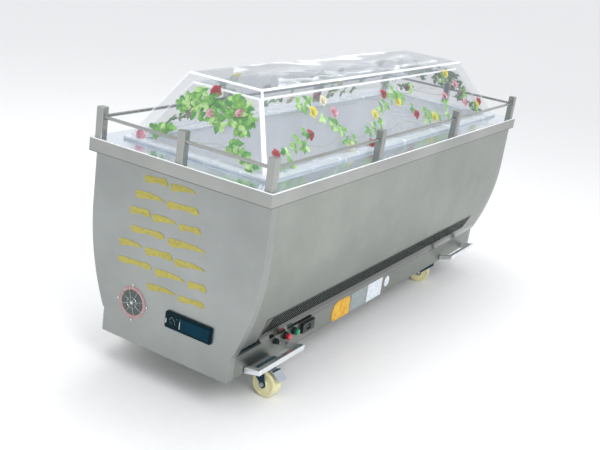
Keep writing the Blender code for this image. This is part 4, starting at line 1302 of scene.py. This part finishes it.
STROKE_PATTERNS = (  # bow, then widths along a stroke: pressed at both ends, and drawn out to a point
    (0.003, (0.72, 0.98, 0.92, 0.82, 0.75, 0.71, 0.69, 0.70, 0.74, 0.82, 0.96, 0.90, 0.50)),
    (0.005, (0.76, 1.00, 0.95, 0.88, 0.82, 0.76, 0.70, 0.64, 0.58, 0.51, 0.43, 0.32, 0.14)),
)


def make_stroke(bow, profile, rng):
    """Brush stroke round the origin: a strip extruded on step by step, each end edge widened and moved."""
    steps = len(profile) - 1
    step = STROKE_LENGTH / steps
    start, at = -STROKE_LENGTH / 2, Vector((-STROKE_LENGTH / 2 + step, 0.0, 0.0))
    foot, width = (STROKE_WIDTH * share for share in profile[:2])
    stroke = add_sheet("stroke", ((start, 0, -foot / 2), (at.x, 0, -width / 2), (at.x, 0, width / 2),
                                  (start, 0, foot / 2)), "gold")
    with editing(stroke):
        for number in range(2, steps + 1):
            pick(*edges(lambda edge: edge.is_boundary and abs(middle(edge).x - at.x) < step / 4
                        and reach(edge, X) < step / 2))
            target = STROKE_WIDTH * profile[number] * (1.0 + rng.uniform(-0.03, 0.03))
            rise = (bow * (sin(pi * number / steps) - sin(pi * (number - 1) / steps))
                    + rng.uniform(-0.0004, 0.0004))
            extrude((step, 0.0, rise))
            at += Vector((step, 0.0, rise))
            widen((1.0, 1.0, target / width), at)
            width = target
    work(stroke, (verts(lambda vert: vert.co.z > 0.0), move, -0.006, 0.0, 0.0))
    face_out(stroke, Y, -1)
    modify(stroke, "SUBSURF", levels=1, render_levels=1)
    return thicken(stroke, 0.0008, 1.0)


class COFFIN_OT_strokes(bpy.types.Operator):
    """Model the rows of shallow gold strokes on the front"""
    bl_idname = "coffin.strokes"
    bl_label = "Gold strokes"

    def execute(self, context):
        rng = random.Random(11)
        patterns = [make_stroke(*pattern, rng) for pattern in STROKE_PATTERNS]
        strokes = []
        for height, places in STROKE_ROWS:
            for x, long, slope, kind in places:
                turn = Matrix.Rotation(-radians(slope), 4, "Y")
                size = Matrix.Diagonal((long / STROKE_LENGTH, 1.0, rng.uniform(0.95, 1.15), 1.0))
                place = Matrix.Translation((x, FACE_Y - AIR, height))
                strokes.append(copy_piece(patterns[kind], "stroke", place @ turn @ size))
        discard(patterns)
        mount(join("front_strokes", strokes))
        return {"FINISHED"}


# The garlands between the cover's skins.

GAP_DEPTH = 0.0155  # of the garlands behind the outer skin's face
LEAF_WIDTH, LEAF_LENGTH, LEAF_CURL, LEAF_FOLD = 0.021, 0.034, 0.0045, 0.0026
LEAF_SHEET = 0.0005  # thickness of leaves and petals
VINE_RADIUS, VINE_STEP, VINE_WAVE = 0.0008, 0.045, 0.008
RIGHT_BLOOMS = (  # colour, place along the wall, height
    ("red", -0.913, 0.904), ("red", -0.041, 1.019), ("red", 0.201, 0.923), ("red", 0.925, 0.915),
    ("red", -0.672, 0.937), ("pink", -0.467, 0.990), ("red", -0.257, 0.862), ("pink", 0.544, 0.968),
    ("yellow", -0.607, 1.004), ("yellow", -0.163, 0.956), ("yellow", 0.068, 0.983), ("yellow", 0.372, 0.897),
    ("yellow", 0.628, 1.055), ("yellow", 0.885, 0.905), ("cream", -0.518, 1.033), ("cream", -0.417, 0.872),
    ("pink", 0.701, 1.004), ("pink", 0.751, 0.923))
LEFT_BLOOMS = (
    ("yellow", -0.606, 1.056), ("red", -0.320, 0.985), ("pink", 0.050, 1.010), ("yellow", 0.330, 0.950),
    ("red", 0.620, 1.040), ("pink", -0.760, 0.920), ("cream", -0.050, 0.900), ("red", 0.180, 0.895),
    ("yellow", -0.430, 0.900), ("pink", 0.800, 0.930))
FRONT_BLOOMS = (("red", -0.029, 1.056), ("pink", 0.097, 1.008), ("pink", -0.010, 0.985),
                ("pink", -0.252, 0.866))
REAR_BLOOMS = (("red", 0.030, 1.020), ("yellow", -0.095, 0.985), ("pink", 0.140, 0.930),
               ("red", -0.170, 0.890))
SIDE_LEAVES = (  # place along the wall and height of each cluster
    (-0.856, 0.899), (-0.802, 0.914), (-0.758, 0.926), (-0.732, 0.905), (-0.704, 0.945), (-0.500, 0.963),
    (-0.480, 0.945), (-0.454, 0.930), (-0.688, 1.033), (-0.660, 1.018), (-0.616, 1.041), (-0.448, 0.887),
    (-0.391, 0.891), (-0.252, 0.905), (-0.204, 0.910), (-0.140, 0.918), (-0.097, 0.970), (-0.054, 0.980),
    (0.049, 1.026), (0.075, 1.010), (0.114, 0.992), (0.225, 1.025), (0.177, 0.950), (0.291, 0.926),
    (0.293, 0.895), (0.420, 0.898), (0.518, 0.901), (0.590, 1.041), (0.541, 0.945), (0.779, 0.963),
    (0.863, 0.895), (-0.900, 0.858), (-0.845, 0.860), (0.000, 1.000), (0.330, 0.905), (-0.560, 0.975))
END_LEAVES = (
    (-0.114, 1.009), (-0.076, 0.989), (-0.046, 1.011), (-0.028, 1.036), (0.033, 1.020), (0.055, 1.037),
    (0.092, 1.033), (0.116, 1.026), (-0.140, 0.987), (0.003, 0.975), (0.077, 0.985), (0.120, 0.979),
    (-0.176, 0.895), (-0.198, 0.892), (0.116, 0.903), (0.160, 0.891), (0.215, 0.862), (-0.090, 1.030),
    (0.015, 1.000), (-0.060, 0.975), (-0.128, 1.000), (-0.098, 1.018), (-0.066, 1.004), (-0.082, 1.040),
    (0.050, 0.998), (0.096, 1.004), (0.132, 1.000), (0.036, 0.962), (0.108, 0.960), (0.140, 0.965),
    (-0.010, 1.018), (0.074, 1.018), (0.190, 0.880), (0.132, 0.915), (-0.156, 0.905))
SIDE_VINES = ((-0.90, 0.88, 0.900), (-0.80, 0.70, 1.010))  # start, end and height
END_VINES = ((-0.21, 0.21, 0.893), (-0.14, 0.14, 1.012))
GARLANDS = (  # wall, run, way out, foot and head from the middle, vines, blooms, clusters and leaves in each
    ("right", X, 1, 0, SIDE_VINES, RIGHT_BLOOMS, SIDE_LEAVES, 5),
    ("left", X, -1, 0, SIDE_VINES, LEFT_BLOOMS, SIDE_LEAVES, 5),
    ("front", Y, -1, 1, END_VINES, FRONT_BLOOMS, END_LEAVES, 7),
    ("rear", Y, 1, 2, END_VINES, REAR_BLOOMS, END_LEAVES, 5))
BLOOM_COLOURS = ("red", "yellow", "pink", "cream")
LEAF_FINISHES = ("leaf", "leaf", "leaf_pale", "leaf_dark")
LEAF_ROWS = ((0.0, 0.10), (0.28, 0.88), (0.55, 1.0), (0.80, 0.62), (1.0, 0.05))  # share of length, width
PETAL_ROWS = ((0.0, 0.30), (1 / 3, 0.82), (2 / 3, 1.0), (1.0, 0.55))
PETAL_RINGS = (  # count, length, width, cup, curl, tilt in degrees, start and level of each ring's petals
    (5, 0.0215, 0.0230, 0.0022, 0.004, 14.0, 0.0015, -0.0050),
    (5, 0.0165, 0.0180, 0.0026, 0.001, 42.0, 0.0030, -0.0045),
    (4, 0.0120, 0.0125, 0.0024, -0.001, 66.0, 0.0028, -0.0040))


class Wall:
    """One sloping wall of the cover: the axis it faces, the sign of that, and its foot, run and slope."""

    def __init__(self, axis, sign, section):
        self.run = AXES[Y if axis == X else X]
        self.foot = AXES[axis] * sign * COVER_FOOT[axis] + AXES[Z] * COVER_FOOT.z
        self.slope = (AXES[Z] * COVER_RISE - AXES[axis] * sign * WALL_RUNS[section]).normalized()
        self.out = self.run.cross(self.slope)
        if self.out.dot(AXES[axis] * sign) < 0.0:
            self.out.negate()

    def place(self, run, height, depth=GAP_DEPTH):
        """Matrix that lays local X along the run, Y up the slope and Z outwards."""
        up = (height - COVER_FOOT.z) / self.slope.z
        point = self.foot + self.run * run + self.slope * up - self.out * depth
        turn = Matrix((self.slope.cross(self.out), self.slope, self.out)).transposed()
        return Matrix.Translation(point) @ turn.to_4x4()


def shape_row(at, factor, drop, edge, rise):
    """Steps that draw in the points at a place along a strip, lower them, and lift those past an edge."""
    row = verts(lambda vert: abs(vert.co.y - at) < NEAR)
    outer = verts(lambda vert: abs(vert.co.y - at) < NEAR and abs(vert.co.x) > edge)
    return [(row, widen, (factor, 1.0, 1.0), (0.0, at, 0.0)), (None, move, 0.0, 0.0, -drop)] + (
        [(outer, move, 0.0, 0.0, rise)] if rise else [])


def make_leaf(leaf_finish):
    """Leaf from a plane cut into rows, drawn to a point, folded along its rib and curled."""
    leaf = work(add_strip("leaf", LEAF_WIDTH, LEAF_LENGTH, leaf_finish),
                *((None, cut, Y, LEAF_LENGTH * share) for share, _ in LEAF_ROWS[1:-1]), (None, cut, X, 0.0))
    for share, factor in LEAF_ROWS:
        work(leaf, *shape_row(LEAF_LENGTH * share, factor, LEAF_CURL * share * share, 1e-3,
                              LEAF_FOLD * (0.0 < share < 1.0)))
    outward(leaf)
    return thicken(leaf, LEAF_SHEET, 0.0)


def make_petal(length, width, cup, curl, petal_finish):
    """Petal from a subdivided plane: round-ended, cupped across and curled back at its tip."""
    petal = work(add_strip("petal", width, length, petal_finish),
                 (faces(lambda face: True), lambda: bpy.ops.mesh.subdivide(number_cuts=2)))
    for share, factor in PETAL_ROWS:
        work(petal, *shape_row(length * share, factor, curl * share ** 3, width * factor * 0.4, cup))
    outward(petal)
    return thicken(petal, LEAF_SHEET, 0.0)


def make_bloom(colour):
    """Flattened rose: three rings of petals round a bud, on a few green sepals."""
    petals = []
    for ring, (count, length, width, cup, curl, tilt, start, level) in enumerate(PETAL_RINGS):
        petal = make_petal(length, width, cup, curl, "petal_" + colour)
        lean = Matrix.Translation((0, start, level)) @ Matrix.Rotation(radians(tilt), 4, "X")
        for number in range(count):
            turn = Matrix.Rotation(tau * (number + 0.5 * ring) / count, 4, "Z")
            petals.append(copy_piece(petal, "petal", turn @ lean))
        discard([petal])
    bud = add_disc("bud", 0.0042, 0.0045, 10, ((0.0010, 0.0018), (0.0014, 0.0008)), "petal_" + colour)
    calyx = add_disc("calyx", 0.0050, 0.0018, 8, ((0.0010, 0.0004),), "leaf")
    return join("bloom_" + colour, petals + [shifted(calyx, 0, 0, -0.0072), shifted(bud, 0, 0, -0.0030)])


def make_vine(wall, start, end, height, rng):
    """Thin vine: a six-sided disc extruded on along a gentle wave in the gap."""
    deselect_all()
    bpy.ops.mesh.primitive_circle_add(vertices=6, radius=VINE_RADIUS, fill_type="NGON")
    vine = settle("vine", ["stem_green"])
    along_wall = Matrix.Rotation(pi / 2, 4, "Y") if wall.run.x else Matrix.Rotation(-pi / 2, 4, "X")
    points, count = [], max(int((end - start) / VINE_STEP), 4)
    for number in range(count + 1):
        run = start + (end - start) * number / count
        wave = VINE_WAVE * sin(run * 23.0) + rng.uniform(-0.003, 0.003)
        points.append(wall.place(run, height + wave, GAP_DEPTH + rng.uniform(-0.004, 0.004)).translation)
    vine.data.transform(Matrix.Translation(points[0]) @ along_wall)
    with editing(vine):
        bpy.ops.mesh.select_all(action="SELECT")
        for before, after in zip(points, points[1:]):
            extrude(after - before)
    outward(vine)
    return vine


def lay(pattern, place, turn, tilt, size):
    """Copy a leaf or bloom into the gap of a wall."""
    turned = Matrix.Rotation(turn, 4, "Z") @ Matrix.Rotation(tilt, 4, "X")
    return copy_piece(pattern, pattern.name, place @ (turned @ Matrix.Scale(size, 4)))


def make_garland(name, wall, vines, blooms, clusters, count, patterns, rng):
    """Garland of one wall: vines, leaf clusters and blooms, joined in one piece."""
    pieces = [make_vine(wall, *vine, rng) for vine in vines]
    for run, height in clusters:
        heading = rng.uniform(0.0, tau)
        for number in range(count):
            turn = heading + number * tau / count + rng.uniform(-0.5, 0.5)
            leaf = rng.choice(patterns["leaves"])
            leaf_run, leaf_height = run + rng.uniform(-0.008, 0.008), height + rng.uniform(-0.006, 0.006)
            tilt, size = radians(rng.uniform(-9.0, 9.0)), rng.uniform(0.72, 1.0)
            place = wall.place(leaf_run, leaf_height, GAP_DEPTH + rng.uniform(-0.002, 0.003))
            pieces.append(lay(leaf, place, turn, tilt, size))
    for colour, run, height in blooms:
        pieces.append(lay(patterns[colour], wall.place(run, height), rng.uniform(0.0, tau), 0.0,
                          rng.uniform(0.86, 1.0)))
    mount(join("garland_" + name, pieces), smooth=60.0)


class COFFIN_OT_garlands(bpy.types.Operator):
    """Model the garlands of leaves and roses between the cover's skins"""
    bl_idname = "coffin.garlands"
    bl_label = "Garlands"

    def execute(self, context):
        rng = random.Random(5)
        patterns = {colour: make_bloom(colour) for colour in BLOOM_COLOURS}
        patterns["leaves"] = [make_leaf(leaf_finish) for leaf_finish in LEAF_FINISHES]
        for name, axis, sign, section, *rest in GARLANDS:
            make_garland(name, Wall(axis, sign, section), *rest, patterns, rng)
        discard(patterns.pop("leaves") + list(patterns.values()))
        return {"FINISHED"}


# Stage and camera.

CAMERA_PLACE = (1.7767, -3.4265, 1.6426)
CAMERA_AZIMUTH, CAMERA_ELEVATION, CAMERA_ROLL = (radians(turn) for turn in (29.1833, 18.3422, 8.4573))
LENS = 55.41
FLOOR_HALF, FLOOR_Z = 60.0, -0.0005
WINDOW_X = -6.0
WINDOW_STRIPS = (  # middle along the cabinet, height, length, width and power of each window's strip
    (10.3, 2.77, 5.0, 0.04, 3.0), (11.3, 2.93, 5.6, 0.02, 0.7), (12.3, 3.12, 6.4, 0.025, 1.6))


def add_light(name, place, aim, size, power):
    """Soft rectangular light that points at a place."""
    light = bpy.data.lights.new(name, "AREA")
    light.shape = "RECTANGLE"
    light.size, light.size_y = size
    light.energy = power
    lamp = bpy.data.objects.new(name, light)
    lamp.location = place
    lamp.rotation_euler = (Vector(aim) - Vector(place)).to_track_quat("-Z", "Y").to_euler()
    bpy.context.scene.collection.objects.link(lamp)
    return lamp


def add_sky(scene):
    """White surroundings, a little brighter above than below."""
    scene.world = bpy.data.worlds.new("studio")
    scene.world.use_nodes = True
    tree = scene.world.node_tree
    sky = tree.nodes["Background"]
    sky.inputs["Color"].default_value = (0.97, 0.98, 1.0, 1.0)
    parts = add_node(tree, "SeparateXYZ")
    wire(tree, add_node(tree, "TexCoord"), "Generated", parts, "Vector")
    wire(tree, span(tree, parts, "Z", 0.94, 0.97), "Result", sky, "Strength")


def add_camera(scene):
    """Camera where the photograph was taken from, turned and rolled as it was."""
    camera = bpy.data.objects.new("camera", bpy.data.cameras.new("camera"))
    back = Vector((sin(CAMERA_AZIMUTH) * cos(CAMERA_ELEVATION),
                   -cos(CAMERA_AZIMUTH) * cos(CAMERA_ELEVATION), sin(CAMERA_ELEVATION)))
    level = (-back).cross(AXES[Z]).normalized()
    upright = level.cross(-back)
    across = cos(CAMERA_ROLL) * level + sin(CAMERA_ROLL) * upright
    up = cos(CAMERA_ROLL) * upright - sin(CAMERA_ROLL) * level
    camera.matrix_world = Matrix.Translation(CAMERA_PLACE) @ Matrix((across, up, back)).transposed().to_4x4()
    camera.data.lens = LENS
    camera.data.sensor_width = 36.0
    camera.data.clip_end = 200.0
    scene.collection.objects.link(camera)
    scene.camera = camera


class COFFIN_OT_stage(bpy.types.Operator):
    """Lay the floor, set the soft lights and the camera"""
    bl_idname = "coffin.stage"
    bl_label = "Stage"

    def execute(self, context):
        corners = ((-1, -1), (1, -1), (1, 1), (-1, 1))
        floor = add_sheet("floor", [(FLOOR_HALF * x, FLOOR_HALF * y, FLOOR_Z) for x, y in corners],
                          "floor_pale")
        add_sky(context.scene)
        context.scene.view_settings.view_transform = "Standard"
        add_light("key_light", (3.2, -2.4, 3.4), (0.0, 0.0, 0.6), (2.2, 2.2), 90.0)
        overhead = add_light("top_light", (-0.6, 0.3, 3.6), (0.0, 0.0, 0.9), (1.0, 2.8), 60.0)
        overhead.visible_glossy = False
        for number, (along, height, long, wide, power) in enumerate(WINDOW_STRIPS):
            strip = add_light(f"window_light_{number + 1}", (WINDOW_X, along, height), (0.0, along, height),
                              (long, wide), power)
            strip.visible_camera = False
        add_camera(context.scene)
        return {"FINISHED"}


class COFFIN_PT_panel(bpy.types.Panel):
    """List the steps that model the coffin"""
    bl_idname = "COFFIN_PT_panel"
    bl_label = "Crystal coffin"
    bl_space_type = "VIEW_3D"
    bl_region_type = "UI"
    bl_category = "Coffin"

    def draw(self, context):
        for step in STEPS:
            self.layout.operator(step.bl_idname)


STEPS = (COFFIN_OT_cabinet, COFFIN_OT_cover, COFFIN_OT_garlands, COFFIN_OT_guard_rail,
         COFFIN_OT_outriggers, COFFIN_OT_casters, COFFIN_OT_speaker, COFFIN_OT_controls,
         COFFIN_OT_side_fittings, COFFIN_OT_strokes, COFFIN_OT_stage)
CLASSES = (CoffinSizes, CoffinColours, *STEPS, COFFIN_PT_panel)


def register():
    MADE.clear()
    for cls in CLASSES:
        bpy.utils.register_class(cls)
    bpy.types.Scene.coffin_sizes = PointerProperty(type=CoffinSizes)
    bpy.types.Scene.coffin_colours = PointerProperty(type=CoffinColours)


def unregister():
    del bpy.types.Scene.coffin_colours
    del bpy.types.Scene.coffin_sizes
    for cls in reversed(CLASSES):
        bpy.utils.unregister_class(cls)


def main():
    register()
    for step in STEPS:
        if getattr(bpy.ops.coffin, step.bl_idname.split(".")[1])() != {"FINISHED"}:
            raise RuntimeError(f"step {step.bl_label} did not finish")


if __name__ == "__main__":
    main()
